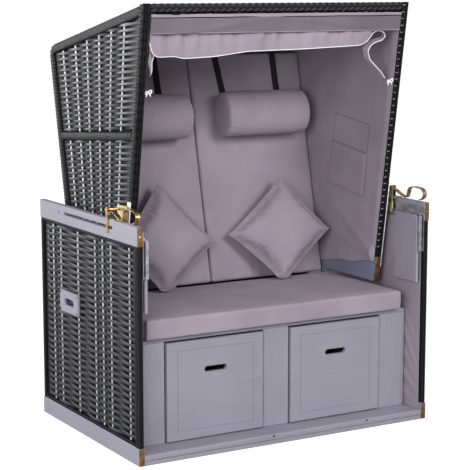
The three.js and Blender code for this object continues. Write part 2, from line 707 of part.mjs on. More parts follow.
const braid = { height: 32, depth: 27, plaits: 26, swell: 3, sides: 6 };
const cover = { thickness: 18, under: 3, side: 16, bar: 24, ease: 4, crest: 18, pitch: 66 };
const coverStakeShares = [0.06, 0.17, 0.28, 0.39, 0.5, 0.61, 0.72, 0.83, 0.94];
const spanX = HOOD_INNER - CLEAR;

// The plaited rail over the opening: it swells and thins once for each plait
function frontBraid() {
  const stations = braid.plaits * 2;
  const centre = [BROW[0] + braid.depth / 2, BROW[1] - braid.height / 2];
  const rings = Array.from({ length: stations + 1 }, (_, i) => {
    const thinner = i % 2 ? 0 : braid.swell;
    return Array.from({ length: braid.sides }, (_, k) => {
      const angle = (2 * Math.PI * (k + 1 / 2)) / braid.sides;
      const [deep, high] = [(braid.depth - thinner) / 2, (braid.height - thinner) / 2];
      const x = -spanX + (2 * spanX * i) / stations;
      return new THREE.Vector3(x, centre[0] + Math.cos(angle) * deep, centre[1] + Math.sin(angle) * high);
    });
  });
  return loft(rings);
}

// The middle plane of a cover panel: the line lies parallel to its edge line, from end to end
function coverPlane(line, ends) {
  const direction = new THREE.Vector3(0, line[1][0] - line[0][0], line[1][1] - line[0][1]).normalize();
  const normal = new THREE.Vector3().crossVectors(X, direction);
  const length = Math.hypot(ends[1][0] - ends[0][0], ends[1][1] - ends[0][1]);
  return { direction, normal, start: ends[0], length };
}

function placed(panel, { direction, normal, start }) {
  const turn = new THREE.Matrix4().makeBasis(X, direction, normal);
  return panel.applyMatrix4(turn).translate(0, ...start);
}

const crestBar = [CREST[0] - cover.crest - cover.under * 2, CREST[1] - cover.crest - cover.under];

function hoodBack() {
  const middle = shift(rearLine, -cover.thickness / 2 - cover.under, 0);
  const ends = [meet(middle, level(FOOT[1])), meet(middle, level(crestBar[1]))];
  const plane = coverPlane(middle, ends);
  const half = spanX;
  const railLow = meet(middle, level(middleRear[1]));
  const toRail = Math.hypot(railLow[0] - ends[0][0], railLow[1] - ends[0][1]);
  const windowX = [-half + cover.side, half - cover.side];
  const windows = [
    cornersOf(windowX, [cover.bar, toRail]),
    cornersOf(windowX, [toRail + frame.middle, plane.length - cover.crest]),
  ];
  const outer = cornersOf([-half, half], [0, plane.length]);
  const panel = wovenFrame(outer, windows, cover.thickness, cover.ease, coverStakeShares, cover.pitch);
  return fuse(placed(panel, plane), alongX(disc(...crestBar, cover.crest), [-half, half]));
}

function roofPanel() {
  const middle = shift(roofLine, 0, -cover.thickness / 2 - cover.under);
  const from = BROW[0] + braid.depth + CLEAR;
  const to = crestBar[0] - cover.crest - CLEAR;
  const plane = coverPlane(middle, [meet(middle, upright(from)), meet(middle, upright(to))]);
  const outer = cornersOf([-spanX, spanX], [0, plane.length]);
  const windowX = [-spanX + cover.side, spanX - cover.side];
  const window = cornersOf(windowX, [cover.bar, plane.length - cover.bar]);
  const panel = wovenFrame(outer, [window], cover.thickness, cover.ease, coverStakeShares, cover.pitch);
  return placed(panel, plane);
}

// Cloth lining of the hood

const cloth = { thickness: 2.5, gap: 0.6, frontEdge: 6 };
const liningLow = [inView(sideShares.liningFront), inView(sideShares.liningRear)];
const liningX = [HOOD_INNER - cloth.gap - cloth.thickness, HOOD_INNER - cloth.gap];
const liningTop = shift(roofUnder, 0, -cloth.gap);

function hoodLining() {
  const front = shift(frontLine, cloth.frontEdge, 0);
  const rear = shift(innerRear, -cloth.gap - EASE, 0);
  const corners = [
    meet(front, liningLow), meet(rear, liningLow), meet(rear, liningTop), meet(front, liningTop),
  ];
  return alongX(shapeOf(corners), liningX);
}

// Roof lining, with a band of it hanging down behind the plaited rail
const valance = { depth: 49, front: 5 };

function roofLining() {
  const half = liningX[0] - CLEAR;
  const under = shift(liningTop, 0, -cloth.thickness);
  const rear = shift(innerRear, -cloth.gap - EASE, 0);
  const front = upright(BROW[0] + valance.front);
  const behind = shift(front, cloth.thickness, 0);
  const low = level(meet(front, liningTop)[1] - valance.depth);
  const corners = [
    meet(front, liningTop), meet(front, low), meet(behind, low), meet(behind, under),
    meet(rear, under), meet(rear, liningTop),
  ];
  return alongX(shapeOf(corners), [-half, half]);
}

// A flat pocket sewn on the right-hand lining, open along its upper edge
const pocketSizes = { cloth: 1.8, room: 5, hem: 8, mouthShare: 0.6 };

function pocketed(liningSheet) {
  const [lowFront, lowRear, highRear, highFront] = sideShares.pocket.map(inView);
  const mouthFront = mix(lowFront, highFront, pocketSizes.mouthShare);
  const mouthRear = mix(lowRear, highRear, pocketSizes.mouthShare);
  const { hem, cloth: wall, room } = pocketSizes;
  const outline = shapeOf([lowFront, lowRear, mouthRear, mouthFront]);
  const sheet = alongX(outline, [liningX[0] - room - wall, liningX[0] + CLEAR]);
  const inner = [
    [lowFront[0] + hem, lowFront[1] + hem], [lowRear[0] - hem, lowRear[1] + hem],
    [mouthRear[0] - hem, mouthRear[1] + hem], [mouthFront[0] + hem, mouthFront[1] + hem],
  ];
  return fuse(liningSheet, cut(sheet, alongX(shapeOf(inner), [liningX[0] - room, liningX[0]])));
}

// The gathered awning: a hanging roll of cloth behind the band, cinched once for each fold
const awning = { drop: 104, depth: 26, folds: 22, wave: 4, bulge: 8, sides: 8, overlap: 34 };
const awningGap = { left: 57.6, right: 21.6 };

function gatheredAwning() {
  const reach = (awning.depth / 2) * Math.cos(Math.PI / awning.sides);
  const y = BROW[0] + valance.front + cloth.thickness + CLEAR + reach;
  const top = meet(upright(BROW[0]), liningTop)[1] - valance.depth + awning.overlap;
  const [left, right] = [awningGap.left + CLEAR - liningX[0], liningX[0] - CLEAR - awningGap.right];
  const stations = awning.folds * 2;
  const rings = Array.from({ length: stations + 1 }, (_, i) => {
    const share = i / stations;
    const thinner = i % 2 ? 0 : awning.wave;
    const sag = Math.sin(Math.PI * share) * awning.bulge;
    const [deep, high] = [(awning.depth - thinner) / 2, (awning.drop - sag - thinner) / 2];
    const x = left + (right - left) * share;
    return Array.from({ length: awning.sides }, (_, k) => {
      const angle = (2 * Math.PI * (k + 1 / 2)) / awning.sides;
      const [v, w] = [Math.cos(angle) * deep, Math.sin(angle) * high];
      return new THREE.Vector3(x, y + v, top - (awning.drop - sag) / 2 + w);
    });
  });
  return loft(rings);
}

// Back of the seat: a board, two pads and two neck rolls, all in the board's own frame

const backrest = { board: 8, half: liningX[0] - CLEAR, belowCrest: 24.4, abovePad: 4 };
const pad = { from: 3, side: 6.6, square: 10, tuck: 4, roll: 14, crown: 6, points: 32 };
const neckRoll = { seat: -0.2, radius: 72, shorter: 88, aside: 8, below: 219, sides: 12 };
const boardHeight = (crestBar[1] - BACK_FOOT[1]) / Math.cos(BACK_LEAN) - backrest.belowCrest;
const padHeight = boardHeight - backrest.abovePad;
const padWidth = backrest.half - pad.from - pad.side;

// Local x across, y up the lean and z out to the front, from the lower edge of the board's front face
function onBack(geometry) {
  const up = new THREE.Vector3(0, Math.sin(BACK_LEAN), Math.cos(BACK_LEAN));
  const out = new THREE.Vector3().crossVectors(X, up);
  const turn = new THREE.Matrix4().makeBasis(X, up, out);
  const inward = out.clone().multiplyScalar(-PAD_THICKNESS - CLEAR);
  return geometry.applyMatrix4(turn).translate(0, BACK_FOOT[0] + inward.y, BACK_FOOT[1] + inward.z);
}

function backPad() {
  const thickness = PAD_THICKNESS - pad.crown;
  const body = cushion({ ...pad, width: padWidth, length: padHeight, thickness });
  return onBack(body.translate(pad.from + padWidth / 2, padHeight / 2, CLEAR + thickness / 2));
}

function roll() {
  const { seat, radius, sides } = neckRoll;
  const [length, up] = [padWidth - neckRoll.shorter, boardHeight - neckRoll.below];
  const left = pad.from + (padWidth - length) / 2 + neckRoll.aside;
  const half = [[0, 0.6], [0.03, 0.86], [0.1, 0.98], [0.3, 1]];
  const stationShares = [...half, ...half.map(([along, fat]) => [1 - along, fat]).reverse()];
  const rings = stationShares.map(([along, fat]) =>
    Array.from({ length: sides }, (_, k) => {
      const angle = (2 * Math.PI * k) / sides;
      const [v, w] = [Math.cos(angle) * radius * fat, Math.sin(angle) * radius * fat];
      return new THREE.Vector3(left + length * along, up + v, PAD_THICKNESS + seat + radius + w);
    }));
  return onBack(loft(rings));
}

function backrestBoard() {
  const x = [-backrest.half, backrest.half];
  return onBack(board(x, [0, boardHeight], [-backrest.board, 0]));
}

// Slotted bars on the outside of the hood

function slottedBar() {
  const [barLow, barHigh] = [boardTop - bar.below, PANEL_HEIGHT + bar.above];
  const edge = (dy) => shift(frontLine, bar.inset + dy, 0);
  const strip = (from, to, low, high) => shapeOf([
    meet(edge(from), level(low)), meet(edge(to), level(low)),
    meet(edge(to), level(high)), meet(edge(from), level(high)),
  ]);
  const outline = strip(0, bar.width, barLow, barHigh);
  const rim = (bar.width - bar.slotWidth) / 2;
  outline.holes.push(strip(rim, bar.width - rim, barLow + bar.end, barHigh - bar.end));
  return alongX(outline, [HOOD_OUTER + CLEAR, barFace]);
}

// Latch: notched rack, lock plate, and the handle that lifts the pin out of its notch

const notchShares = [0, 0.3583, 0.5139, 0.65]; // of the slot, from the upright hood to the flattest
const rack = { thickness: 2, height: 24, tooth: 3, toothWidth: 6 };
const rod = { above: 32, radius: 4 };
const plate = { inset: 26, thickness: 4, ahead: 25, behind: 45, below: 24, above: 45, flange: 3, short: 2 };
const clampBolt = { radius: 4, head: 9, headThickness: 6 };
const arm = { half: 8, thickness: 3, below: 20 };
const handle = { width: 16, thickness: 3, reach: 204, rise: 52, samples: 30 };
// Route of the handle's flat bar, ahead of the pin and above the rail: down to the rail, then round in a loop
const routeShares = [
  [0.02, 0.596], [0.142, 0.5], [0.314, 0.25], [0.471, 0.115], [0.52, 0.365], [0.559, 0.769],
  [0.667, 0.942], [0.804, 0.942], [0.931, 0.885], [1, 0.615], [0.971, 0.288], [0.873, 0.104],
];
const pinZ = slotMiddle + slot.height / 2 - pin.air - pin.radius;
const rodZ = PANEL_HEIGHT + rod.above;
const plateX = [INNER - plate.inset, INNER - plate.inset + plate.thickness];
const plateY = [boltY - plate.ahead, boltY + plate.behind];

function notchRack() {
  const places = notchShares.map((share) => pinY + share * slot.behind);
  const half = pin.radius + pin.air + rack.toothWidth / 2;
  const teeth = places.flatMap((y) => [y - half, y + half]);
  const profile = rectangle(
    [slotY[0] - rack.height / 2, slotY[1] + rack.height / 2],
    [slotMiddle - rack.height / 2, slotMiddle + rack.height / 2],
  );
  profile.holes.push(slotOutline(teeth, rack.tooth, rack.toothWidth));
  return alongX(profile, [INNER - CLEAR - rack.thickness, INNER - CLEAR]);
}

// An angle plate: one leg hangs inside the rail, the other slides on top of it
function lockPlate() {
  const outline = rectangle(plateY, [slotMiddle - plate.below, PANEL_HEIGHT + plate.above]);
  const slotHalf = rod.radius + pin.air;
  const travel = [rodZ - pin.lift - slotHalf, rodZ + slotHalf];
  const rodSlot = [[pinY - slotHalf, pinY + slotHalf], travel, slotHalf - CLEAR];
  outline.holes.push(roundedRectangle(...rodSlot, THREE.Path));
  const onRail = PANEL_HEIGHT + CLEAR;
  const shoe = block([plateX[0], OUTER - plate.short], plateY, [onRail, onRail + plate.flange]);
  const stem = alongX(disc(boltY, slotMiddle, clampBolt.radius), [barFace + CLEAR, plateX[1]]);
  const head = [plateX[1] - CLEAR, plateX[1] + clampBolt.headThickness];
  return fuse(alongX(outline, plateX), shoe, stem, alongX(disc(boltY, slotMiddle, clampBolt.head), head));
}

function latchHandle() {
  const armX = [OUTER + pin.air, OUTER + pin.air + arm.thickness];
  const armZ = [slotMiddle - arm.below, rodZ + arm.half];
  const outline = roundedRectangle([pinY - arm.half, pinY + arm.half], armZ, arm.half - CLEAR);
  const cross = alongX(disc(pinY, rodZ, rod.radius), [plateX[0] - rod.radius, armX[1] + rod.radius]);
  const boltX = [INNER - rack.thickness - lining.gap, armX[1] + pin.radius];
  const bolt = alongX(disc(pinY, pinZ, pin.radius), boltX);
  const { reach, rise } = handle;
  const route = routeShares.map(([along, up]) => [pinY - reach * along, PANEL_HEIGHT + rise * up]);
  const middle = (INNER + OUTER) / 2;
  const handleX = [middle - handle.width / 2, middle + handle.width / 2];
  const loop = alongX(bandProfile(route, handle.thickness, handle.samples), handleX);
  const hub = alongX(disc(pinY, rodZ, rod.radius * 2), handleX);
  return fuse(alongX(outline, armX), cross, bolt, hub, loop);
}

// Side tables, folded down inside the panels, and the stays that hold them up

const hinge = { above: 20, inset: 12, radius: 2.5, leaf: 2, height: 30 };
const table = { thickness: 11, frontGap: 14, plateGap: 15, seatGap: 110, corner: 22, ease: 2 };
const stay = { front: 2, depth: 9, aside: 3.5, width: 11, length: 131, top: 1, end: 6 };
const stayPin = { radius: 3, hole: 3.4, lug: 2 };
const hingeX = INNER - hinge.inset;
const hingeZ = topRailZ[0] + hinge.above;
const tableY = [FRONT + table.frontGap, plateY[0] - table.plateGap];
const stayX = hingeX - stay.aside;
const stayY = [FRONT + stay.front, FRONT + stay.front + stay.depth];
const stayZ = [hingeZ - stay.top - stay.length, hingeZ - stay.top];
const stayPinZ = stayZ[0] + stay.end;

function sideTable() {
  const outline = new THREE.Shape();
  const [front, back] = tableY;
  const [low, high] = [SEAT_TOP + table.seatGap, hingeZ - CLEAR];
  outline.moveTo(front, low);
  outline.lineTo(back, low);
  outline.lineTo(back, high);
  outline.lineTo(front + table.corner, high);
  outline.absarc(front + table.corner, high - table.corner, table.corner, Math.PI / 2, Math.PI);
  return alongX(outline, [hingeX - table.thickness, hingeX], table.ease);
}

// A long hinge under the rail, with a strap down the front post that carries the stay
function tableHinge() {
  const leafX = [INNER - CLEAR - hinge.leaf, INNER - CLEAR];
  const lugY = [stayY[1], stayY[1] + stayPin.lug];
  const axis = hingeZ + hinge.radius;
  const top = hingeZ + hinge.height;
  const barrel = alongY(disc(hingeX, axis, hinge.radius), tableY);
  const web = block([hingeX, leafX[1]], tableY, [axis - hinge.leaf / 2, axis + hinge.leaf / 2]);
  const leaf = block(leafX, [stayY[0], tableY[1]], [topRailZ[0] + CLEAR, top]);
  const strap = block(leafX, [stayY[0], lugY[1]], [stayZ[0], top]);
  const { radius } = stayPin;
  const lug = block([stayX - radius, leafX[1]], lugY, [stayPinZ - radius, stayPinZ + radius]);
  const stub = alongY(disc(stayX, stayPinZ, radius), [stayY[0], lugY[1]]);
  return fuse(leaf, barrel, web, strap, lug, stub);
}

function tableStay() {
  const half = stay.width / 2;
  const outline = roundedRectangle([stayX - half, stayX + half], stayZ, half - CLEAR);
  outline.holes.push(disc(stayX, stayPinZ, stayPin.hole, THREE.Path));
  return alongY(outline, [stayY[0], stayY[1] - CLEAR]);
}

// Everything in its place

piece(base, "floor_board", floorBoard(), paint);
piece(base, "front_sill", frontSill(), paint);
bothSides(base, "bottom_rail", board([INNER, OUTER], railY, [0, rail.bottom]), paint);
bothSides(base, "top_rail", topRail(), paint);
bothSides(base, "base_panel", basePanel(), rattan);
bothSides(base, "base_lining", sideLining(), fabric);
bothSides(base, "top_cap", edgeCap(topRailZ), brass);
bothSides(base, "bottom_cap", edgeCap([0, rail.bottom]), brass);
bothSides(base, "carry_grip", carryGrip(), paint);
bothSides(base, "notch_rack", notchRack(), steel);
piece(base, "base_back", baseBackPanel(), rattan);
bothSides(base, "seat_side", seatSide(), paint);
piece(base, "seat_divider", seatDivider(), paint);
piece(base, "seat_board", seatBoard(), paint);
piece(base, "seat_cushion", seatCushion(), fabric);
piece(base, "right_throw_pillow", thrown(rightPillow), fabric);
piece(base, "left_throw_pillow", thrown(leftPillow), fabric);
bothSides(base, "pivot_bracket", pivotBracket(), steel);
bothSides(base, "table_hinge", tableHinge(), steel);

bothSides(hood, "hood_side", hoodSide(), rattan);
bothSides(hood, "hood_board", hoodBoard(), shadedPaint);
bothSides(hood, "slotted_bar", slottedBar(), steel);
piece(hood, "front_braid", frontBraid(), rattan);
piece(hood, "roof_panel", roofPanel(), rattan);
piece(hood, "hood_back", hoodBack(), rattan);
piece(hood, "right_hood_lining", pocketed(hoodLining()), fabric);
piece(hood, "left_hood_lining", hoodLining(), fabric).scale.x = -1;
piece(hood, "roof_lining", roofLining(), fabric);
piece(hood, "awning", gatheredAwning(), fabric);
piece(hood, "backrest_board", backrestBoard(), paint);
bothSides(hood, "back_pad", backPad(), fabric);
bothSides(hood, "neck_roll", roll(), fabric);

bothSides(fittings, "drawer_front", drawerFront(), paint);
bothSides(fittings, "drawer_box", drawerBox(), paint);
bothSides(fittings, "side_table", sideTable(), paint);
bothSides(fittings, "table_stay", tableStay(), zinc);
bothSides(fittings, "lock_plate", lockPlate(), zinc);
bothSides(fittings, "latch_handle", latchHandle(), brass);

export default chair;
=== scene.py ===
"""Hooded beach chair for two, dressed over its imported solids. Metres, X right, Y back, Z up."""
import math

import bpy
import numpy as np
from mathutils import Matrix, Vector, noise


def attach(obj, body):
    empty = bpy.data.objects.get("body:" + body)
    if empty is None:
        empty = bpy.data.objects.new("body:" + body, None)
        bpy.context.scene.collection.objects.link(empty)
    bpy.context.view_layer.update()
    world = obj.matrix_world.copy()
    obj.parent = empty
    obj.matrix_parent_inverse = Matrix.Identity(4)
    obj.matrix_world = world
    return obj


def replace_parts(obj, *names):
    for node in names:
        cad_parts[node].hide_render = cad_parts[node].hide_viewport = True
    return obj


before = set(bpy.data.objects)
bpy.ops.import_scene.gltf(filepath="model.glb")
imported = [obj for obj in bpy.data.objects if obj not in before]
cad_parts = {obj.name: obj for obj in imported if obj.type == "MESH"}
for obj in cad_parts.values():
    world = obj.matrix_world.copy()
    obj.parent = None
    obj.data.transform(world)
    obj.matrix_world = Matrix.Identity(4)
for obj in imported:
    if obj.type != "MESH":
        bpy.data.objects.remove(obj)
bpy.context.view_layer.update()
SIDES = (("right", 1), ("left", -1))


# Camera, fitted to the photograph from the corners of the base and of the hood.
# It stands in front and to the left at the height of the hood's roof and looks slightly down.
def new_object(name, data):
    """A new object in the scene"""
    made = bpy.data.objects.new(name, data)
    bpy.context.collection.objects.link(made)
    return made


camera = bpy.data.cameras.new("camera")
camera.lens = 118.9
camera.sensor_width = 36
camera_object = new_object("camera", camera)
camera_object.location = (-2.812, -4.836, 1.570)
camera_object.rotation_euler = [math.radians(angle) for angle in (80.93, 0, -30.24)]
bpy.context.scene.camera = camera_object


# Studio: a white floor under a white sky, with broad soft lamps.
# The floor keeps the shadow of the chair; only the camera, straight or through an open weave, sees the white.
def linear(colour):
    """A written sRGB colour, such as "b1aec2", as the linear values that shaders take"""
    parts = [int(colour[i:i + 2], 16) / 255 for i in (0, 2, 4)]
    return [p / 12.92 if p <= 0.04045 else ((p + 0.055) / 1.055) ** 2.4 for p in parts] + [1]


def add_node(tree, kind, inputs=None, **settings):
    """A shader node with its settings, and its inputs either linked or set"""
    made = tree.nodes.new(kind)
    for name, value in settings.items():
        setattr(made, name, value)
    for name, value in (inputs or {}).items():
        if isinstance(value, bpy.types.NodeSocket):
            tree.links.new(value, made.inputs[name])
        else:
            made.inputs[name].default_value = value
    return made


def reckon(tree, operation, a, b):
    """The result of one sum in a shader"""
    return add_node(tree, "ShaderNodeMath", {0: a, 1: b}, operation=operation).outputs[0]


def white_to_camera(tree, strength):
    """Light that only the camera sees, straight or through an open weave"""
    path = add_node(tree, "ShaderNodeLightPath").outputs
    return reckon(tree, "MULTIPLY", reckon(tree, "MAXIMUM", path["Is Camera Ray"], path["Is Transmission Ray"]),
                  strength)


world = bpy.data.worlds.new("white sky")
bpy.context.scene.world = world
world.use_nodes = True
world.node_tree.nodes.clear()
sky_tree = world.node_tree
sky_strength = reckon(sky_tree, "ADD", white_to_camera(sky_tree, 0.6), 0.4)
sky = add_node(sky_tree, "ShaderNodeBackground", {"Color": (1, 1, 1, 1), "Strength": sky_strength})
add_node(sky_tree, "ShaderNodeOutputWorld", {"Surface": sky.outputs[0]})

bpy.ops.mesh.primitive_plane_add(size=60, location=(0, 0, -0.0005))
floor = bpy.context.object
floor.name = "floor"
floor_paint = bpy.data.materials.new("white floor")
floor_paint.use_nodes = True
floor_tree = floor_paint.node_tree
floor_tree.nodes.clear()
matt = add_node(floor_tree, "ShaderNodeBsdfDiffuse", {"Color": (0.36, 0.36, 0.36, 1)})
glow = add_node(floor_tree, "ShaderNodeEmission", {"Color": (1, 1, 1, 1),
                                                   "Strength": white_to_camera(floor_tree, 0.9)})
both = add_node(floor_tree, "ShaderNodeAddShader", {0: matt.outputs[0], 1: glow.outputs[0]})
add_node(floor_tree, "ShaderNodeOutputMaterial", {"Surface": both.outputs[0]})
floor.data.materials.append(floor_paint)

for name, place, target, size, power in (
        ("key lamp", (0.9, -5.0, 3.1), (0, 0, 0.9), 2.0, 160),
        ("fill lamp", (-3.6, -3.6, 1.9), (0, 0, 1.0), 2.4, 130),
        ("side lamp", (-4.4, 0.2, 2.6), (-0.4, 0, 0.8), 2.6, 80),
        ("rim lamp", (-3.4, 4.4, 1.7), (-0.5, 0, 0.8), 2.8, 120)):
    lamp = bpy.data.lights.new(name, "AREA")
    lamp.energy = power
    lamp.size = size
    lamp_object = new_object(name, lamp)
    lamp_object.location = place
    aim = Vector(target) - Vector(place)
    lamp_object.rotation_euler = aim.to_track_quat("-Z", "Y").to_euler()
bpy.context.scene.view_settings.view_transform = "Standard"


# Painted boards: sill, floor, seat box, rails, drawers, fold-down tables and grips of planed softwood,
# sprayed lilac grey. The grain shows faintly through the paint, which is uneven and a little worn.
def new_material(name, roughness, metallic=0.0):
    """An empty material, its tree, shader and object coordinates"""
    made = bpy.data.materials.new(name)
    made.use_nodes = True
    tree = made.node_tree
    shader = tree.nodes["Principled BSDF"]
    shader.inputs["Roughness"].default_value = roughness
    shader.inputs["Metallic"].default_value = metallic
    place = add_node(tree, "ShaderNodeTexCoord").outputs["Object"]
    return made, tree, shader, place


def cloudy(tree, place, scale, detail, roughness=0.5):
    """Smooth noise. scale is its patches to the metre, so 160 gives 6 mm, or three such numbers, which draw
    the patches out along one direction"""
    if isinstance(scale, tuple):
        place, scale = add_node(tree, "ShaderNodeMapping", {"Vector": place, "Scale": scale}).outputs[0], 1.0
    return add_node(tree, "ShaderNodeTexNoise", {"Vector": place, "Scale": scale, "Detail": detail,
                                                 "Roughness": roughness}).outputs["Fac"]


def coloured(tree, shader, value, stops):
    """Colours a shader by a value, through a ramp of (position, written colour)"""
    made = add_node(tree, "ShaderNodeValToRGB", {"Fac": value})
    made.color_ramp.elements[0].position = stops[0][0]
    made.color_ramp.elements[0].color = linear(stops[0][1])
    made.color_ramp.elements[1].position = stops[-1][0]
    made.color_ramp.elements[1].color = linear(stops[-1][1])
    for position, colour in stops[1:-1]:
        made.color_ramp.elements.new(position).color = linear(colour)
    tree.links.new(made.outputs["Color"], shader.inputs["Base Color"])


def bump(tree, shader, height, strength, distance):
    """Raises the surface by a pattern of the given height in metres"""
    made = add_node(tree, "ShaderNodeBump", {"Height": height, "Strength": strength, "Distance": distance})
    tree.links.new(made.outputs[0], shader.inputs["Normal"])


def painted_wood(name, dark, middle, light, grain_scale):
    """Paint over planed wood: long grain, soft patches of tone and fine brush relief.
    The grain is 6 mm wide, as the wide rings of softwood are, and 170 mm long. The patches are 320 mm wide."""
    made, tree, shader, place = new_material(name, 0.56)
    grain = cloudy(tree, place, grain_scale, 5.0, 0.62)
    tone = reckon(tree, "MULTIPLY", reckon(tree, "ADD", grain, cloudy(tree, place, 3.1, 2.0)), 0.5)
    coloured(tree, shader, tone, [(0.3, dark), (0.5, middle), (0.7, light)])
    bump(tree, shader, grain, 0.16, 0.0006)
    return made


across_paint = painted_wood("lilac-grey paint, grain across", "898694", "92909d", "9997a4", (6, 160, 160))
deep_paint = painted_wood("lilac-grey paint, grain front to back", "8d8a97", "9592a0", "9d9ba6", (160, 6, 160))
upright_paint = painted_wood("lilac-grey paint, upright grain", "898694", "92909d", "9997a4", (160, 160, 6))
# The hood boards take a darker, bluer copy of the lilac-grey paint: painted shade at the bottom of the hood.
shaded_paint = painted_wood("lilac-grey paint in painted shade, grain front to back", "717589", "7c8096", "85899f", (160, 6, 160))


def finish(material, *nodes):
    """CAD pieces take a material; a name that starts with _ stands for the pieces of both sides"""
    for node in nodes:
        for name in [side + node for side, _ in SIDES] if node[0] == "_" else [node]:
            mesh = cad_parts[name].data
            mesh.materials.clear()
            mesh.materials.append(material)


finish(across_paint, "floor_board", "front_sill", "seat_board", "backrest_board", "_drawer_front", "_drawer_box")
finish(upright_paint, "seat_divider", "_seat_side", "_side_table")
finish(deep_paint, "_bottom_rail", "_top_rail", "_carry_grip")
finish(shaded_paint, "_hood_board")


# Fittings: tarnished brass caps, yellow-plated locks, handles gone coppery, satin bars, and stays, racks and
# hinges in bright plate. The metal is pressed and lightly brushed, so its gloss is streaked.
def metal(name, dark, light, roughness, metallic=1.0):
    """Plated sheet metal, with streaks of polish and a little staining.
    Stains are 22 mm wide. Streaks are 1 by 11 mm, since real brush marks of 0.1 mm are too fine to show."""
    made, tree, shader, place = new_material(name, roughness, metallic)
    streaks = cloudy(tree, place, (900, 90, 90), 3.0)
    coloured(tree, shader, cloudy(tree, place, 45.0, 3.0), [(0.35, dark), (0.62, light)])
    gloss = add_node(tree, "ShaderNodeMapRange", {"Value": streaks, "To Min": roughness - 0.08,
                                                  "To Max": roughness + 0.14})
    tree.links.new(gloss.outputs[0], shader.inputs["Roughness"])
    bump(tree, shader, streaks, 0.12, 0.0002)
    return made


brass = metal("tarnished brass", "9c6f42", "c2986a", 0.34)
bright_plate = metal("bright zinc plate", "b9bac0", "e6e6ea", 0.36)
finish(brass, "_top_cap", "_bottom_cap")
finish(metal("yellow zinc plate", "a09768", "dcd5ae", 0.3), "_lock_plate")
finish(metal("handle plate, gone coppery", "94714a", "dcb685", 0.3), "_latch_handle")
finish(metal("satin aluminium bar", "e4e4e8", "fafafc", 0.5, 0.15), "_slotted_bar")
finish(bright_plate, "_table_stay", "_notch_rack", "_pivot_bracket", "_table_hinge")


# Woven sides of the base: flat black synthetic strands wound over and under bare metal rods, in a frame
# of round-edged posts that are bound with the same strand. The rods show as bright dashes between strands.
def select(*pieces):
    """Selects these pieces alone, the first of them active, since operators act on all that is selected"""
    bpy.ops.object.select_all(action="DESELECT")
    for piece in pieces:
        piece.select_set(True)
    bpy.context.view_layer.objects.active = pieces[0]


FACE_OUT = bpy.ops.mesh.normals_make_consistent, {"inside": False}
CLOSE_ENDS = bpy.ops.mesh.fill_holes, {"sides": 0}


def edited(piece, *steps):
    """Runs mesh operators, each given with its settings, on the whole of a piece"""
    select(piece)
    bpy.ops.object.mode_set(mode="EDIT")
    bpy.ops.mesh.select_all(action="SELECT")
    for operator, settings in steps:
        operator(**settings)
    bpy.ops.object.mode_set(mode="OBJECT")
    return piece


def apply_modifier(piece, kind, **settings):
    """Adds a modifier with its settings and applies it"""
    select(piece)
    added = piece.modifiers.new(kind.lower(), kind)
    for name, value in settings.items():
        setattr(added, name, value)
    bpy.ops.object.modifier_apply(modifier=added.name)


def repeated(piece, count, step, **merge):
    """Turns a piece into a row of copies, each one step further on"""
    apply_modifier(piece, "ARRAY", count=count, use_relative_offset=False, use_constant_offset=True,
                   constant_offset_displace=step, **merge)


def rows_of(items, name):
    """A property of every point or face of a mesh, one row of x, y and z each"""
    flat = np.empty(len(items) * 3)
    items.foreach_get(name, flat)
    return flat.reshape(-1, 3)


def points_of(piece):
    """The points of a mesh"""
    return rows_of(piece.data.vertices, "co")


def move_points(piece, points):
    """Puts the points of a mesh in new places"""
    piece.data.vertices.foreach_set("co", np.asarray(points, dtype=float).ravel())
    piece.data.update()


def finished(piece, name, material, body, angle=50):
    """Places a piece for good: at the origin, unturned, smooth over its gentle edges, and riding on its body"""
    select(piece)
    bpy.ops.object.transform_apply(location=True, rotation=True, scale=True)
    bpy.ops.object.shade_smooth_by_angle(angle=math.radians(angle))
    piece.name = piece.data.name = name
    piece.data.materials.clear()
    piece.data.materials.append(material)
    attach(piece, body)
    return piece


def joined(pieces):
    """Several objects become one"""
    select(*pieces)
    if len(pieces) > 1:
        bpy.ops.object.join()
    return bpy.context.view_layer.objects.active


def taken_off(piece):
    """Takes a piece off its body again, before it becomes another one"""
    for key in [key for key in piece.keys() if key.startswith("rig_")]:
        del piece[key]
    piece.parent = None


def mirrored(piece, name, body):
    """The same piece on the other side of the chair, facing out as well"""
    select(piece)
    bpy.ops.object.duplicate()
    copy = bpy.context.object
    copy.scale.x = -1
    bpy.ops.object.transform_apply(location=False, rotation=False, scale=True)
    edited(copy, (bpy.ops.mesh.flip_normals, {}))
    copy.name = copy.data.name = name
    taken_off(copy)
    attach(copy, body)
    return copy


def strand_material(name, dark, light, grooves, shine):
    """Satin synthetic strand with fine lengthwise grooves and a dusty cast, with painted light and shade: darker and
    duller where it lies deep, lighter and glossier where it stands out.
    Dust lies in patches of 38 mm. Real grooves are 0.5 mm apart; here they are 0.9 mm apart, so that they show."""
    made, tree, shader, place = new_material(name, 0.36)
    proud = add_node(tree, "ShaderNodeAttribute", attribute_name="proud").outputs["Fac"]
    # proud is the painted light and shade stored on each point; it is mixed with the dust, weighted 0.72 to it.
    shade = add_node(tree, "ShaderNodeMix", {"Factor": 0.72, 2: cloudy(tree, place, 26.0, 4.0), 3: proud},
                     data_type="FLOAT")
    coloured(tree, shader, shade.outputs[0], [(0.2, dark), (0.8, light)])
    gloss = add_node(tree, "ShaderNodeMapRange", {"Value": shade.outputs[0], "To Min": 0.85, "To Max": 0.2})
    tree.links.new(gloss.outputs[0], shader.inputs["Roughness"])
    shader.inputs["Specular IOR Level"].default_value = shine
    bump(tree, shader, cloudy(tree, place, grooves, 2.0), 0.3, 0.0004)
    return made


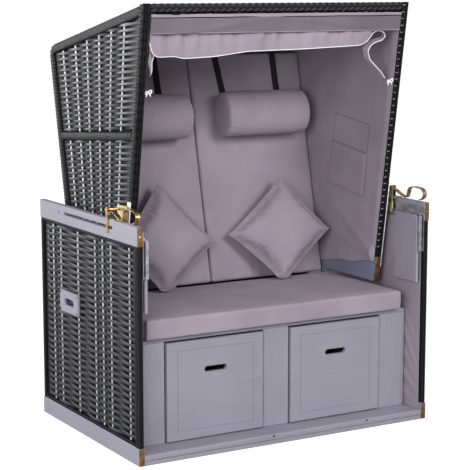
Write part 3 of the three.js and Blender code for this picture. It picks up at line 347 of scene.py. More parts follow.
# Both colours run from painted shade at the dark end to painted light at the light end, by the marks laid on each
# piece.
strand_black = strand_material("black synthetic strand", "08080a", "44444e", (40, 40, 1100), 0.5)
cord_black = strand_material("black binding cord", "040405", "16161a", (300, 300, 300), 0.22)
bare_rod = metal("bare aluminium rod", "d4d4d2", "f6f6f4", 0.42, 0.55)


def unit(values):
    """Values held between 0 and 1"""
    return np.clip(values, 0, 1)


def as_points(x, y, z):
    """Three columns of numbers as one row for each point"""
    return np.stack([x, y, z], axis=1)


def mark_painted_light_and_shade(piece, shares):
    """Stores painted light and shade for each point, from 0, painted dark as in the recesses, to 1, painted light as
    on the outermost bulges
    """
    shades = piece.data.attributes.new("proud", "FLOAT", "POINT")
    shades.data.foreach_set("value", unit(shares).astype(np.float32))


def woven(corners, rod_shares, rows, place, name, samples=96, swing=0.0074, tuck=0.004):
    """One strand is modelled flat and repeated for every row, then laid over and under the rods.
    corners are (u, v): low left, low right, high right, high left. place turns u, v and depth into points."""
    bpy.ops.mesh.primitive_grid_add(x_subdivisions=samples, y_subdivisions=2, size=1)
    strand = bpy.context.object
    repeated(strand, rows, (0, 2, 0))
    grid = points_of(strand)
    row = np.round(grid[:, 1] / 2).astype(int)
    across = grid[:, 1] - 2 * row
    share = grid[:, 0] + 0.5
    c = np.array(corners)
    low, high = c[:, 1].min(), c[:, 1].max()
    pitch = (high - low) / rows
    uneven = np.array([noise.noise(Vector((r * 0.73, 4.1, len(name)))) for r in range(rows)])
    v = low + (row + 0.5 + uneven[row] * 0.12) * pitch + across * pitch * 0.95
    middle = low + (row + 0.5) * pitch
    left = c[0, 0] + (c[3, 0] - c[0, 0]) * (middle - c[0, 1]) / (c[3, 1] - c[0, 1]) - tuck
    right = c[1, 0] + (c[2, 0] - c[1, 0]) * (middle - c[1, 1]) / (c[2, 1] - c[1, 1]) + tuck
    u = left + (right - left) * share
    rods = [(c[0] + (c[1] - c[0]) * s, c[3] + (c[2] - c[3]) * s) for s in rod_shares]
    depth = np.zeros(len(u))
    for r in range(rows):
        own = row == r
        at = low + (r + 0.5) * pitch
        knots = [left[own][0]] + [a[0] + (b[0] - a[0]) * (at - a[1]) / (b[1] - a[1]) for a, b in rods]
        knots.append(right[own][0])
        turns = [0.0] + [swing * (1 if (i + r) % 2 else -1) for i in range(len(rods))] + [0.0]
        seat = np.clip(np.searchsorted(knots, u[own]) - 1, 0, len(knots) - 2)
        k, t = np.array(knots), np.array(turns)
        part = unit((u[own] - k[seat]) / (k[seat + 1] - k[seat]))
        eased = (1 - np.cos(np.pi * part)) / 2
        depth[own] = t[seat] + (t[seat + 1] - t[seat]) * eased
        slim = np.minimum(np.abs(u[own] - k[seat]), np.abs(u[own] - k[seat + 1]))
        v[own] = middle[own] + (v[own] - middle[own]) * (0.74 + 0.26 * unit(slim / 0.02))
    crown = 0.0011 * (1 - (2 * across) ** 2)
    move_points(strand, place(u, v, depth + crown))
    # Painted light and shade: outward bulges are marked light, and inward swings and the strand's edges dark.
    mark_painted_light_and_shade(strand, 0.5 + 0.5 * depth / swing - np.abs(across) * 0.3)
    apply_modifier(strand, "SOLIDIFY", thickness=0.0018, offset=0)
    rod_pieces = []
    for a, b in rods:
        ends = place(np.array([a[0], b[0]]), np.array([a[1] - 0.004, b[1] + 0.004]), np.zeros(2))
        along = Vector(ends[1]) - Vector(ends[0])
        bpy.ops.mesh.primitive_cylinder_add(vertices=14, radius=0.0032, depth=along.length,
                                            location=(Vector(ends[0]) + Vector(ends[1])) / 2,
                                            rotation=along.to_track_quat("Z", "Y").to_euler())
        rod_pieces.append(bpy.context.object)
    return strand, joined(rod_pieces)


def wound(route, sizes, rib, pitch, square=0.5):
    """A bar bound with cord: one turn is modelled, repeated along and laid on the route.
    route holds points. sizes are its width sideways, which is along X, and its depth, for all of it or each end."""
    route = [Vector(point) for point in route]
    steps = [(b - a).length for a, b in zip(route, route[1:])]
    reach = np.concatenate([[0], np.cumsum(steps)])
    turns = max(4, round(reach[-1] / pitch))
    bpy.ops.mesh.primitive_cylinder_add(vertices=20, radius=1, depth=1, end_fill_type="NOTHING")
    turn = edited(bpy.context.object, (bpy.ops.mesh.bisect, {"plane_co": (0, 0, 0), "plane_no": (0, 0, 1)}))
    repeated(turn, turns, (0, 0, 1), use_merge_vertices=True, merge_threshold=0.001)
    tube = points_of(turn)
    share = (tube[:, 2] + 0.5) / turns
    crown = 1 - np.abs(np.round(tube[:, 2] * 2) % 2)
    length = share * reach[-1]

    def on_route(at):
        return np.stack([np.interp(at, reach, line) for line in np.array(route).T], axis=1)

    ahead = on_route(length + 0.004) - on_route(length - 0.004)
    ahead /= np.linalg.norm(ahead, axis=1)[:, None]
    sideways = np.array([1.0, 0, 0]) if abs(ahead[0, 0]) < 0.9 else np.array([0, 1.0, 0])
    inward = np.cross(ahead, sideways)
    inward /= np.linalg.norm(inward, axis=1)[:, None]
    a, b = tube[:, 0], tube[:, 1]
    w0, d0, w1, d1 = sizes if len(sizes) == 4 else sizes * 2
    wide = (w0 + (w1 - w0) * share) / 2 - rib * (1 - crown)
    deep = (d0 + (d1 - d0) * share) / 2 - rib * (1 - crown)
    along_wide = np.sign(a) * np.abs(a) ** square * wide
    along_deep = np.sign(b) * np.abs(b) ** square * deep
    move_points(turn, on_route(length) + sideways * along_wide[:, None] + inward * along_deep[:, None])
    # Painted shade: the grooves between turns are marked dark and the crests light.
    mark_painted_light_and_shade(turn, crown)
    return edited(turn, CLOSE_ENDS, FACE_OUT)


base_window = [(-0.361, 0.0723), (0.3745, 0.0723), (0.3745, 0.7257), (-0.361, 0.7257)]
base_rods = (0.069, 0.26, 0.348, 0.43, 0.621, 0.8205, 0.909)
strands, rods = woven(base_window, base_rods, 59, lambda u, v, d: as_points(0.5765 + d, u, v), "base weave")
right_weave = finished(strands, "right_base_weave", strand_black, "root")
right_rods = finished(rods, "right_base_rods", bare_rod, "root")
POST_X = 0.579
post_pieces = [wound([(POST_X, y, 0.0605), (POST_X, y, 0.7375)], (0.0216, deep), 0.0016, 0.0072)
               for y, deep in ((-0.378, 0.0336), (0.3847, 0.0202))]
post_pieces += [wound([(POST_X, -0.362, z), (POST_X, 0.3755, z)], (0.0206, 0.012), 0.0016, 0.0072)
                for z in (0.0664, 0.7315)]
right_posts = finished(joined(post_pieces), "right_base_posts", cord_black, "root")
for piece, kind in ((right_weave, "weave"), (right_rods, "rods"), (right_posts, "posts")):
    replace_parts(piece, "right_base_panel")
    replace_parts(mirrored(piece, f"left_base_{kind}", "root"), "left_base_panel")


# Woven back of the base: black strands over bare rods as on the sides, between a thick lower bar and an
# upper bar bound with cord. It is set between the two sides at the rear, where the hood tips over it.
back_rods = (0.06, 0.18, 0.3, 0.42, 0.5, 0.58, 0.7, 0.82, 0.94)
BACK_Y = 0.384
strands, rods = woven([(-0.5517, 0.06), (0.5517, 0.06), (0.5517, 0.4), (-0.5517, 0.4)], back_rods, 33,
                      lambda u, v, d: as_points(u, BACK_Y + d, v), "base back", samples=100)
back_weave = finished(strands, "base_back_weave", strand_black, "root")
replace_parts(back_weave, "base_back")
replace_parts(finished(rods, "base_back_rods", bare_rod, "root"), "base_back")
bars = [wound([(-0.5675, BACK_Y, z), (0.5675, BACK_Y, z)], (0.0214, height), 0.0011, 0.0062)
        for z, height in ((0.0305, 0.06), (0.42, 0.0396))]
bars += [wound([(x, BACK_Y, 0.0615), (x, BACK_Y, 0.4)], (0.0156, 0.021), 0.0011, 0.0062)
         for x in (-0.5595, 0.5595)]
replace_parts(finished(joined(bars), "base_back_bars", cord_black, "root"), "base_back")


# Sides of the hood: rails and posts bound with cord round a fan of metal rods, and strands that run
# level with the middle rail. Three cords lie along the front of each post.
# The four corners of the hood in the side view, as (y, z): front low, front high, rear low and rear high
FOOT, BROW, HEEL, CREST = (-0.175, 0.486), (-0.335, 1.519), (0.258, 0.486), (0.437, 1.358)


def at_height(a, b, z, dy=0.0):
    """Where a sloping line of the side view has the height z"""
    return a[0] + (b[0] - a[0]) * (z - a[1]) / (b[1] - a[1]) + dy


def roof_at(y, drop):
    """The height of the roof at a depth, less a drop"""
    return BROW[1] + (CREST[1] - BROW[1]) * (y - BROW[0]) / (CREST[0] - BROW[0]) - drop


def crossing(p, q, r, s):
    """Where two lines of the side view cross"""
    hit = Vector(q) - Vector(p), Vector(s) - Vector(r)
    t = ((r[0] - p[0]) * hit[1].y - (r[1] - p[1]) * hit[1].x) / (hit[0].x * hit[1].y - hit[0].y * hit[1].x)
    return p[0] + hit[0].x * t, p[1] + hit[0].y * t


def moved(line, dy, dz):
    """A line of the side view in another place"""
    return [(y + dy, z + dz) for y, z in line]


SIDE_X, SIDE_WIDE = 0.5145, 0.0266
front_line, rear_line, roof_line = (FOOT, BROW), (HEEL, CREST), (BROW, CREST)
rail_low = ((0.352, 1.019), (-0.195, 1.068))
post_inner, rear_inner = moved(front_line, 0.036, 0), moved(rear_line, -0.034, 0)
slope = (rail_low[1][1] - rail_low[0][1]) / (rail_low[1][0] - rail_low[0][0])
side_rods = (0.178, 0.325, 0.466, 0.61, 0.751, 0.907)
roof_under = moved(roof_line, 0, -0.038)
foot_level = ((-0.4, 0.5913), (0.4, 0.5913))
rail_top = moved(rail_low, 0, 0.034)


def on_hood(u, v, d):
    """Places the weave of a side, whose strands run level with the middle rail"""
    return as_points(SIDE_X + d, u, v + slope * np.asarray(u))


def trimmed(piece, co, no):
    """Cuts off what lies beyond a plane, on the side that its normal points to"""
    edited(piece, (bpy.ops.mesh.bisect, {"plane_co": co, "plane_no": no, "use_fill": True, "clear_outer": True}))


side_strands, side_stakes = [], []
for low_line, high_line, rows in ((foot_level, rail_low, 46), (rail_top, roof_under, 37)):
    window = [crossing(*post_inner, *low_line), crossing(*rear_inner, *low_line),
              crossing(*rear_inner, *high_line), crossing(*post_inner, *high_line)]
    flat = [(y, z - slope * y) for y, z in window]
    strands, rods = woven(flat, side_rods, rows, on_hood, "hood side", samples=84, swing=0.0088)
    side_strands.append(strands)
    side_stakes.append(rods)
trimmed(side_strands[0], (0.51, 0, 0.5895), (0, 0, -1))
trimmed(side_strands[1], (0.51, BROW[0], BROW[1] - 0.036), (0, 0.2085, 1))
right_hood_weave = finished(joined(side_strands), "right_hood_weave", strand_black, "hood")
right_hood_rods = finished(joined(side_stakes), "right_hood_rods", bare_rod, "hood")

corner = crossing(*moved(roof_line, 0, -0.019), *moved(rear_line, -0.017, 0))
ahead = (Vector(BROW) - Vector(CREST)).normalized()
down = (Vector(HEEL) - Vector(CREST)).normalized()
bend = [Vector(corner) + ahead * 0.03 * (1 - t) ** 2 + down * 0.03 * t ** 2 for t in np.linspace(0, 1, 9)]
route = [Vector((BROW[0] + 0.034, roof_at(BROW[0] + 0.034, 0.019)))] + bend
route.append(Vector((at_height(HEEL, CREST, 0.5795, -0.017), 0.5795)))
frame_bars = [
    (route, (SIDE_WIDE, 0.0372, SIDE_WIDE, 0.0333)),
    ([(at_height(*front_line, 1.08, 0.034), 1.0805), (at_height(*rear_line, 1.034, -0.032), 1.0365)],
     (0.0262, 0.0336)),
    ([(-0.152, 0.5855), (0.244, 0.5855)], (0.0262, 0.0118)),
    ([(at_height(*front_line, 0.58, 0.0215), 0.58), (BROW[0] + 0.0215, 1.514)], (SIDE_WIDE, 0.0285))]
frame_bars = [wound([(SIDE_X, *place) for place in path], sizes, 0.0018, 0.013) for path, sizes in frame_bars]
right_hood_frame = finished(joined(frame_bars), "right_hood_frame", cord_black, "hood")
cords = [wound([(x, at_height(*front_line, 0.5805, 0.0048), 0.5805), (x, BROW[0] + 0.0048, 1.518)],
               (0.0088, 0.0092), 0.0002, 0.03, square=0.9) for x in (SIDE_X - 0.009, SIDE_X, SIDE_X + 0.009)]
right_post_cords = finished(joined(cords), "right_hood_post_cords", cord_black, "hood", angle=70)
for piece, kind in ((right_hood_weave, "weave"), (right_hood_rods, "rods"), (right_hood_frame, "frame"),
                    (right_post_cords, "post_cords")):
    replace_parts(piece, "right_hood_side")
    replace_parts(mirrored(piece, f"left_hood_{kind}", "hood"), "left_hood_side")


# Roof and back of the hood: black strands over bare rods, between bars bound with cord, and a thick bound bar
# where roof and back meet. The plaited rail over the opening is three strands braided from side to side.
cover_rods = (0.06, 0.17, 0.28, 0.39, 0.5, 0.61, 0.72, 0.83, 0.94)
COVER_HALF = 0.5003


def on_slope(line, end_a, end_b):
    """Places a flat panel along a line of the side view"""
    start, along = Vector(end_a), (Vector(end_b) - Vector(end_a)).normalized()
    out = Vector((-along.y, along.x))
    return lambda u, v, d: as_points(u, start.x + along.x * np.asarray(v) + out.x * d,
                                     start.y + along.y * np.asarray(v) + out.y * d)


crest_bar = (CREST[0] - 0.024, CREST[1] - 0.021)
roof_middle, back_middle = moved(roof_line, 0, -0.012), moved(rear_line, -0.012, 0)
roof_start = crossing(*roof_middle, (BROW[0] + 0.0273, 0), (BROW[0] + 0.0273, 1))
roof_end = crossing(*roof_middle, (crest_bar[0] - 0.0183, 0), (crest_bar[0] - 0.0183, 1))
back_start = crossing(*back_middle, (0, 0.486), (1, 0.486))
back_end = crossing(*back_middle, (0, crest_bar[1]), (1, crest_bar[1]))
roof_long = (Vector(roof_end) - Vector(roof_start)).length
back_long = (Vector(back_end) - Vector(back_start)).length
rail_start = crossing(*back_middle, (0, 1.019), (1, 1.019))
to_rail = (Vector(rail_start) - Vector(back_start)).length
roof_place = on_slope(roof_middle, roof_start, roof_end)
back_place = on_slope(back_middle, back_start, back_end)
for name, node, place, spans, ends in (
        ("roof", "roof_panel", roof_place, [(0.024, roof_long - 0.024, 64)], (0.0, roof_long)),
        ("hood_back", "hood_back", back_place, [(0.024, to_rail, 50), (to_rail + 0.034, back_long - 0.018, 28)],
         (0.0, back_long))):
    panel, stakes, bars = [], [], []
    for low, high, rows in spans:
        strands, rods = woven([(-0.4847, low), (0.4847, low), (0.4847, high), (-0.4847, high)], cover_rods,
                              rows, place, name, samples=100)
        panel.append(strands)
        stakes.append(rods)
        ends += (low, high)
    for low, high in zip(sorted(set(ends))[::2], sorted(set(ends))[1::2]):
        centre = place(np.array([-COVER_HALF, COVER_HALF]), np.array([(low + high) / 2] * 2), np.zeros(2))
        bars.append(wound([tuple(point) for point in centre], (0.0176, high - low), 0.0012, 0.0062))
    for x in (-0.4927, 0.4927):
        centre = place(np.array([x, x]), np.array([0.004, max(ends) - 0.004]), np.zeros(2))
        bars.append(wound([tuple(point) for point in centre], (0.0156, 0.0174), 0.0012, 0.0062))
    if node == "hood_back":
        bars.append(wound([(-COVER_HALF, *crest_bar), (COVER_HALF, *crest_bar)], (0.036, 0.036), 0.0014, 0.0075,
                          square=1.0))
    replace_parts(finished(joined(panel), f"{name}_weave", strand_black, "hood"), node)
    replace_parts(finished(joined(stakes), f"{name}_rods", bare_rod, "hood"), node)
    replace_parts(finished(joined(bars), f"{name}_bars", cord_black, "hood"), node)


def curve_through(points, radius, name, kind):
    """A round curve along a list of points, and its spline"""
    curve = bpy.data.curves.new(name, "CURVE")
    curve.dimensions, curve.bevel_depth, curve.bevel_resolution = "3D", radius, 2
    line = curve.splines.new(kind)
    line.points.add(len(points) - 1)
    for place, point in zip(points, line.points):
        point.co = (*place, 1)
    return new_object(name, curve), line


braid_middle = (BROW[0] + 0.0135, BROW[1] - 0.016)
braid_turns, braid_steps = 13, 208
braid_strands = []
for third in range(3):
    path = []
    for share in np.arange(braid_steps + 1) / braid_steps:
        turn = 2 * math.pi * (share * braid_turns + third / 3)
        path.append((COVER_HALF * (2 * share - 1), braid_middle[0] + math.sin(2 * turn) * 0.0058,
                     braid_middle[1] + math.sin(turn) * 0.0092))
    braid_strands.append(curve_through(path, 0.0066, "braid strand", "POLY")[0])
braid = joined(braid_strands)
bpy.ops.object.convert(target="MESH")
edited(braid, CLOSE_ENDS, FACE_OUT)
braid_core = wound([(-COVER_HALF, *braid_middle), (COVER_HALF, *braid_middle)], (0.012, 0.017), 0.001, 0.0062)
# Painted light: the front of the braid, which faces the lamps, is marked lighter than its back and its gaps.
mark_painted_light_and_shade(braid, unit(0.5 + (braid_middle[0] - points_of(braid)[:, 1]) / 0.02) ** 3 * 0.3)
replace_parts(finished(braid, "front_braid_strands", strand_black, "hood", angle=80), "front_braid")
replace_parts(finished(braid_core, "front_braid_core", cord_black, "hood"), "front_braid")


# Cloth on the inside: woven acrylic, taupe with a mauve cast. The linings are single sheets tacked to the
# frame; a flat pocket is sewn on the right-hand one, and loose folds gather at the lower front corners.
def cloth_material(name, dark, middle, light):
    """Plain weave: fine crossing threads, slubs along them and soft patches of tone.
    Patches are 200 mm wide and slubs 1.4 by 6 mm. Real threads are 0.5 mm apart; here it is 1 mm, so that they
    show at all."""
    made, tree, shader, place = new_material(name, 0.88)
    patches, slubs = cloudy(tree, place, 5.0, 3.0), cloudy(tree, place, (700, 700, 160), 2.0)
    mixed = add_node(tree, "ShaderNodeMix", {"Factor": 0.3, 2: patches, 3: slubs}, data_type="FLOAT")
    coloured(tree, shader, mixed.outputs[0], [(0.34, dark), (0.5, middle), (0.66, light)])
    threads = [add_node(tree, "ShaderNodeTexWave", {"Vector": place, "Scale": 330.0, "Distortion": 0.6},
                        bands_direction=axis).outputs["Fac"] for axis in ("X", "Z")]
    bump(tree, shader, reckon(tree, "MULTIPLY", *threads), 0.25, 0.0004)
    shader.inputs["Sheen Weight"].default_value = 0.05
    shader.inputs["Specular IOR Level"].default_value = 0.3
    return made


taupe = cloth_material("taupe acrylic cloth", "908591", "998e9a", "a297a3")
shaded_taupe = cloth_material("canvas in the braid's shade", "696069", "716872", "79707a")
# The black cloth back is painted shade: it goes on the outer faces of the linings, so that the gaps of the weave
# look dark.
shade_black_back = cloth_material("black cloth back, painted shade", "08080a", "0b0b0d", "0f0f12")


def cloth_sheet(columns, rows, place, thickness=0.0012):
    """A sheet of cloth from a grid: place turns shares across and up into points"""
    bpy.ops.mesh.primitive_grid_add(x_subdivisions=columns, y_subdivisions=rows, size=1)
    sheet = bpy.context.object
    grid = points_of(sheet) + 0.5
    move_points(sheet, place(grid[:, 0], grid[:, 1]))
    apply_modifier(sheet, "SOLIDIFY", thickness=thickness, offset=0)
    return edited(sheet, FACE_OUT)


def faced(sheet, outward, material, least=0.25, below=9.0):
    """The side of a cloth that faces outward has another material, such as black painted shade behind the weave"""
    sheet.data.materials.append(material)
    faces = sheet.data.polygons
    slots = np.empty(len(faces), dtype=np.int32)
    faces.foreach_get("material_index", slots)
    chosen = (rows_of(faces, "normal") @ np.array(outward) > least) & (rows_of(faces, "center")[:, 2] < below)
    slots[chosen] = len(sheet.data.materials) - 1
    faces.foreach_set("material_index", slots)


def ripple(points, scale, seed):
    """Smooth noise between -1 and 1 at each point"""
    return np.array([noise.noise(Vector(p) * scale + Vector((seed, seed, seed))) for p in points])


def bell(distance, width=1.0):
    """1 at no distance, falling off smoothly within a width"""
    return np.exp(-(distance / width) ** 2)


def between(corners, u, v):
    """Bilinear places between low front, low rear, high rear and high front"""
    low = np.outer(1 - u, corners[0]) + np.outer(u, corners[1])
    high = np.outer(1 - u, corners[3]) + np.outer(u, corners[2])
    return low * (1 - v)[:, None] + high * v[:, None]


lining_front, lining_rear = moved(front_line, 0.006, 0), moved(rear_inner, -0.0021, 0)
lining_low, lining_high = ((-0.175, 0.563), (0.119, 0.526)), moved(roof_under, 0, -0.001)
lining_corners = [crossing(*lining_front, *lining_low), crossing(*lining_rear, *lining_low),
                  crossing(*lining_rear, *lining_high), crossing(*lining_front, *lining_high)]


def lining_place(u, v):
    """The side lining: smooth above, with slack that gathers in folds towards its lower front corner"""
    flat = between(lining_corners, u, v)
    ridge = flat[:, 0] * 0.82 + flat[:, 1] * 0.57
    slack = unit(1 - v / 0.36) ** 0.8 * unit(1.1 - u)
    folds = 0.8 * bell(flat[:, 1] - 0.605 - (flat[:, 0] + 0.15) * 0.62, 0.026)
    folds += 0.5 * bell(flat[:, 1] - 0.585 - (flat[:, 0] + 0.15) * 0.25, 0.017)
    folds += 0.22 * np.maximum(0, np.sin(ridge * 44 + 1.2))
    soft = ripple(as_points(flat[:, 0], flat[:, 1], 0 * u), 6.5, 3.7) * 0.0011
    hem = bell(u * 26 - 1.1) * 0.0022 + bell((1 - u) * 40) * 0.0007
    proud = folds * slack * 0.0095 + hem + soft + 0.0012
    edge = unit(np.minimum(np.minimum(u, 1 - u) * 30, (1 - v) * 30))
    wave = np.sin(u * 14) * 0.003 * (1 - v) ** 6
    return as_points(0.5001 - np.maximum(proud, 0) * edge, flat[:, 0], flat[:, 1] + wave)


for side, way in SIDES:
    made = cloth_sheet(110, 150, lambda u, v: lining_place(u, v) * (way, 1, 1))
    made = finished(made, f"{side}_side_lining", taupe, "hood")
    # The outer face is black as painted shade, seen through the gaps of the weave.
    faced(made, (way, 0, 0), shade_black_back)
    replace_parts(made, f"{side}_hood_lining")

pocket = [(-0.112, 0.796), (0.131, 0.830), (0.074, 1.097), (-0.144, 1.068)]
mouth = [tuple(np.array(pocket[0]) * 0.4 + np.array(pocket[3]) * 0.6),
         tuple(np.array(pocket[1]) * 0.4 + np.array(pocket[2]) * 0.6)]


def pocket_place(u, v):
    """The pocket: flat on the lining at its rim and a little slack towards its mouth"""
    flat = between([pocket[0], pocket[1], mouth[1], mouth[0]], u, v)
    rim = unit(np.minimum(np.minimum(u, 1 - u) * 14, v * 14))
    slack = 0.0046 * rim * (0.35 + 0.65 * v ** 2) * (1 + 0.3 * np.sin(u * 9 + v * 4))
    return as_points(0.4966 - slack, flat[:, 0], flat[:, 1])


pocket_sheet = finished(cloth_sheet(50, 44, pocket_place), "pocket", taupe, "hood")


# Stitching and hems: pale thread, and folded edges of the same cloth along the mouth and rim of the pocket, drawn
# darker than the cloth as painted shade in the seams.
# Small staples hold the inner cord on the front of the right-hand post, where the photo shows them.
thread = cloth_material("pale thread", "8a8590", "a39fa9", "b9b6be")
# The pocket seams take a darker copy of the cloth as painted shade.
seam_shade = cloth_material("taupe cloth darkened as painted seam shade", "7c727e", "867c88", "908692")
white_trim = cloth_material("white piping", "dcdbe0", "ececf0", "f7f7fa")


def cord_along(points, radius, name, material, body):
    """A round cord, hem or row of thread along a smooth path"""
    made, line = curve_through(points, radius, name, "NURBS")
    made.data.use_fill_caps = True
    line.order_u, line.use_endpoint_u, line.resolution_u = 3, True, 6
    select(made)
    bpy.ops.object.convert(target="MESH")
    return finished(bpy.context.object, name, material, body, angle=80)


hem_lines = [(pocket[3], pocket[0]), (pocket[2], pocket[1]), (pocket[0], pocket[1]), (mouth[0], mouth[1]),
             (pocket[3], pocket[2])]
for number, (a, b) in enumerate(hem_lines):
    depth = 0.4925 if number == 3 else 0.4962
    cord_along([(depth, *a), (depth, *((np.array(a) + b) / 2)), (depth, *b)], 0.0012, f"pocket_seam_{number}",
               seam_shade, "hood")
bpy.ops.mesh.primitive_cube_add(size=1, scale=(0.0105, 0.0014, 0.0022))
staple = bpy.context.object
bpy.ops.object.transform_apply(location=False, rotation=False, scale=True)
staple_pitch, post_slope = 0.024, -0.1549
repeated(staple, 38, (0, staple_pitch * post_slope, staple_pitch))
apply_modifier(staple, "BEVEL", width=0.0002, segments=2)
staple.location = (0.5062, at_height(*front_line, 0.62, -0.0005), 0.62)
finished(staple, "right_post_staples", thread, "hood")


# Roof lining: one sheet under the roof that comes down behind the plaited rail as a smooth band.
# The awning hangs from it, drawn up in gathers on a cord, and its white piping loops over to the right.
lining_half = 0.4972
band_low = crossing(*lining_high, (BROW[0] + 0.005, 0), (BROW[0] + 0.005, 1))[1] - 0.059
band_high = band_low + 0.065
roof_front = BROW[0] + 0.0062
under_roof = [(roof_front + 0.0075, band_low), (roof_front - 0.0035, band_high)]
roof_rear = crossing(*lining_rear, *lining_high)
under_roof += [(roof_front + 0.004, under_roof[1][1] - 0.0112), (0.3945, roof_rear[1] + 0.0005), (0.3925, 1.304)]
run = np.cumsum([0] + [math.dist(a, b) for a, b in zip(under_roof, under_roof[1:])])
roof_length = run[-1]
run = run / roof_length


def roof_place(u, v):
    """Up the band from its lower edge, then back under the roof, with two shallow drapes in the band"""
    y = np.interp(v, run, [p[0] for p in under_roof])
    z = np.interp(v, run, [p[1] for p in under_roof])
    x = (2 * u - 1) * lining_half
    soft = ripple(as_points(x, y, z), 7.0, 8.3)
    on_band = v < run[1]
    drape = bell(z - band_low - 0.02 - (x + 0.24) * 0.15, 0.009) * bell(x + 0.2, 0.16)
    drape += bell(z - band_low - 0.026 + (x - 0.25) * 0.1, 0.01) * bell(x - 0.2, 0.15) * 0.7
    z = np.where(on_band, z, z - np.abs(soft) * 0.002)
    y = np.where(on_band, y + soft * 0.0008 + np.sin(x * 19) * 0.0005 - drape * 0.0055, y)
    return as_points(x, y, z)


roof_sheet = finished(cloth_sheet(140, 110, roof_place), "roof_sheet", taupe, "hood", angle=35)
# The top and rear faces are black as painted shade under the roof's weave; the front of the band takes the darker
# cloth as painted shade of the braid.
faced(roof_sheet, (0, 0.5, 0.85), shade_black_back)
faced(roof_sheet, (0, -1, 0), shaded_taupe, 0.7, band_low + 0.052)
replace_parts(roof_sheet, "roof_lining")
# The upper hem is black as a painted shadow line in the groove under the plaited rail; the lower hem is of the taupe
# cloth.
for name, height, hem in (("band_upper_hem", band_low + 0.0520, shade_black_back),
                          ("band_lower_hem", band_low + 0.0008, taupe)):
    hem_y = np.interp(height, (band_low, band_high), (roof_front + 0.0067, roof_front - 0.0043))
    cord_along([(x, hem_y, height + math.sin(x * 31) * 0.0004) for x in
                np.linspace(-lining_half, lining_half, 40)], 0.0016, name, hem, "hood")

# Lower edge of the awning, as (x, z) places, and the path of its loose right-hand end
awning_edge = [(-0.4950, 1.392), (-0.490, 1.366), (-0.476, 1.349), (-0.461, 1.345), (-0.406, 1.347), (-0.369, 1.339),
               (-0.255, 1.343), (-0.12, 1.358), (0.08, 1.361), (0.266, 1.367), (0.338, 1.37), (0.366, 1.384),
               (0.385, 1.405)]
awning_loop = [(0.385, 1.405), (0.395, 1.415), (0.415, 1.419), (0.437, 1.413), (0.446, 1.399), (0.434, 1.385),
               (0.408, 1.378), (0.388, 1.366), (0.379, 1.345), (0.39, 1.317), (0.417, 1.294), (0.446, 1.27),
               (0.464, 1.249)]
edge_x, edge_z = np.array(awning_edge).T
edge_run = np.concatenate([[0], np.cumsum(np.hypot(np.diff(edge_x), np.diff(edge_z)))])
edge_run /= edge_run[-1]
awning_top = band_low + 0.031
awning_y = roof_front + 0.0068
TURNED_UP = 0.86


def awning_place(u, v):
    """v runs from the gathered upper edge down the front, and from TURNED_UP a little way back up behind"""
    x = np.interp(u, edge_run, edge_x)
    low = np.interp(u, edge_run, edge_z)
    down = unit(v / TURNED_UP)
    z = awning_top + (low - awning_top) * down
    lean = x + (1 - down) * 0.012 * np.sin(x * 23)
    folds = np.sin(lean * 66 + np.sin(lean * 17) * 2.2) * 0.55 + np.sin(lean * 121 + 2) * 0.3 + np.sin(
        lean * 29 + 1) * 0.35
    gather = bell(down - 0.2, 0.42)
    puff = np.sin(np.pi * down) ** 0.8
    y = awning_y + 0.0125 + folds * (0.0076 * gather + 0.0022) - puff * 0.0052
    back = unit((v - TURNED_UP) / (1 - TURNED_UP))
    set_back = 0.016 * np.exp(-(down / 0.36) ** 4)
    y = np.maximum(y, awning_y) + set_back + back * 0.006
    return as_points(x, y, z + back * 0.012 - 0.0014 * np.abs(folds) * gather)


awning_sheet = finished(cloth_sheet(300, 44, awning_place), "awning_sheet", taupe, "hood")
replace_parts(awning_sheet, "awning")
loop_x, loop_z = np.array(awning_loop).T
loop_run = np.linspace(0, 1, len(awning_loop))


def loop_place(u, v):
    """The loose end: a narrow strip whose front edge follows the loop and whose rear edge lies behind it"""
    x, z = np.interp(u, loop_run, loop_x), np.interp(u, loop_run, loop_z)
    wide = 0.022 * np.sin(np.pi * unit(u * 0.9 + 0.1)) + 0.004
    y = awning_y + 0.0105 + 0.03 * u ** 1.5 + v * (0.012 + wide * 0.5)
    return as_points(x + v * wide * 0.8 * np.cos(u * 3), y, z + v * wide * 0.35)


loop_sheet = finished(cloth_sheet(90, 8, loop_place), "awning_loop", taupe, "hood")
edge_share = np.linspace(0, 1, 60)
front_edge = awning_place(edge_share, np.full(60, TURNED_UP)) + (0, -0.0008, -0.0012)
loop_edge = loop_place(edge_share, np.zeros(60)) + (0, -0.0008, -0.0004)
piping = cord_along(np.concatenate([front_edge, loop_edge[2:]]), 0.0017, "awning_piping", white_trim, "hood")


def corner_place(u, v):
    """The left-hand end hangs behind the post as a narrow tail that ends in a point"""
    z = 1.372 - 0.09 * v
    wide = 0.026 * (1 - v) + 0.004
    x = -0.4945 + u * wide + 0.002 * np.sin(v * 9)
    return as_points(x, awning_y + 0.016 + u * 0.008 + 0.004 * np.sin(v * 5), z + 0.004 * u)


corner_sheet = finished(cloth_sheet(10, 40, corner_place), "awning_corner", taupe, "hood")
cord_along(corner_place(np.ones(24), np.linspace(0, 1, 24)) + (0.0006, -0.0008, 0), 0.0016, "corner_piping",
           white_trim, "hood")


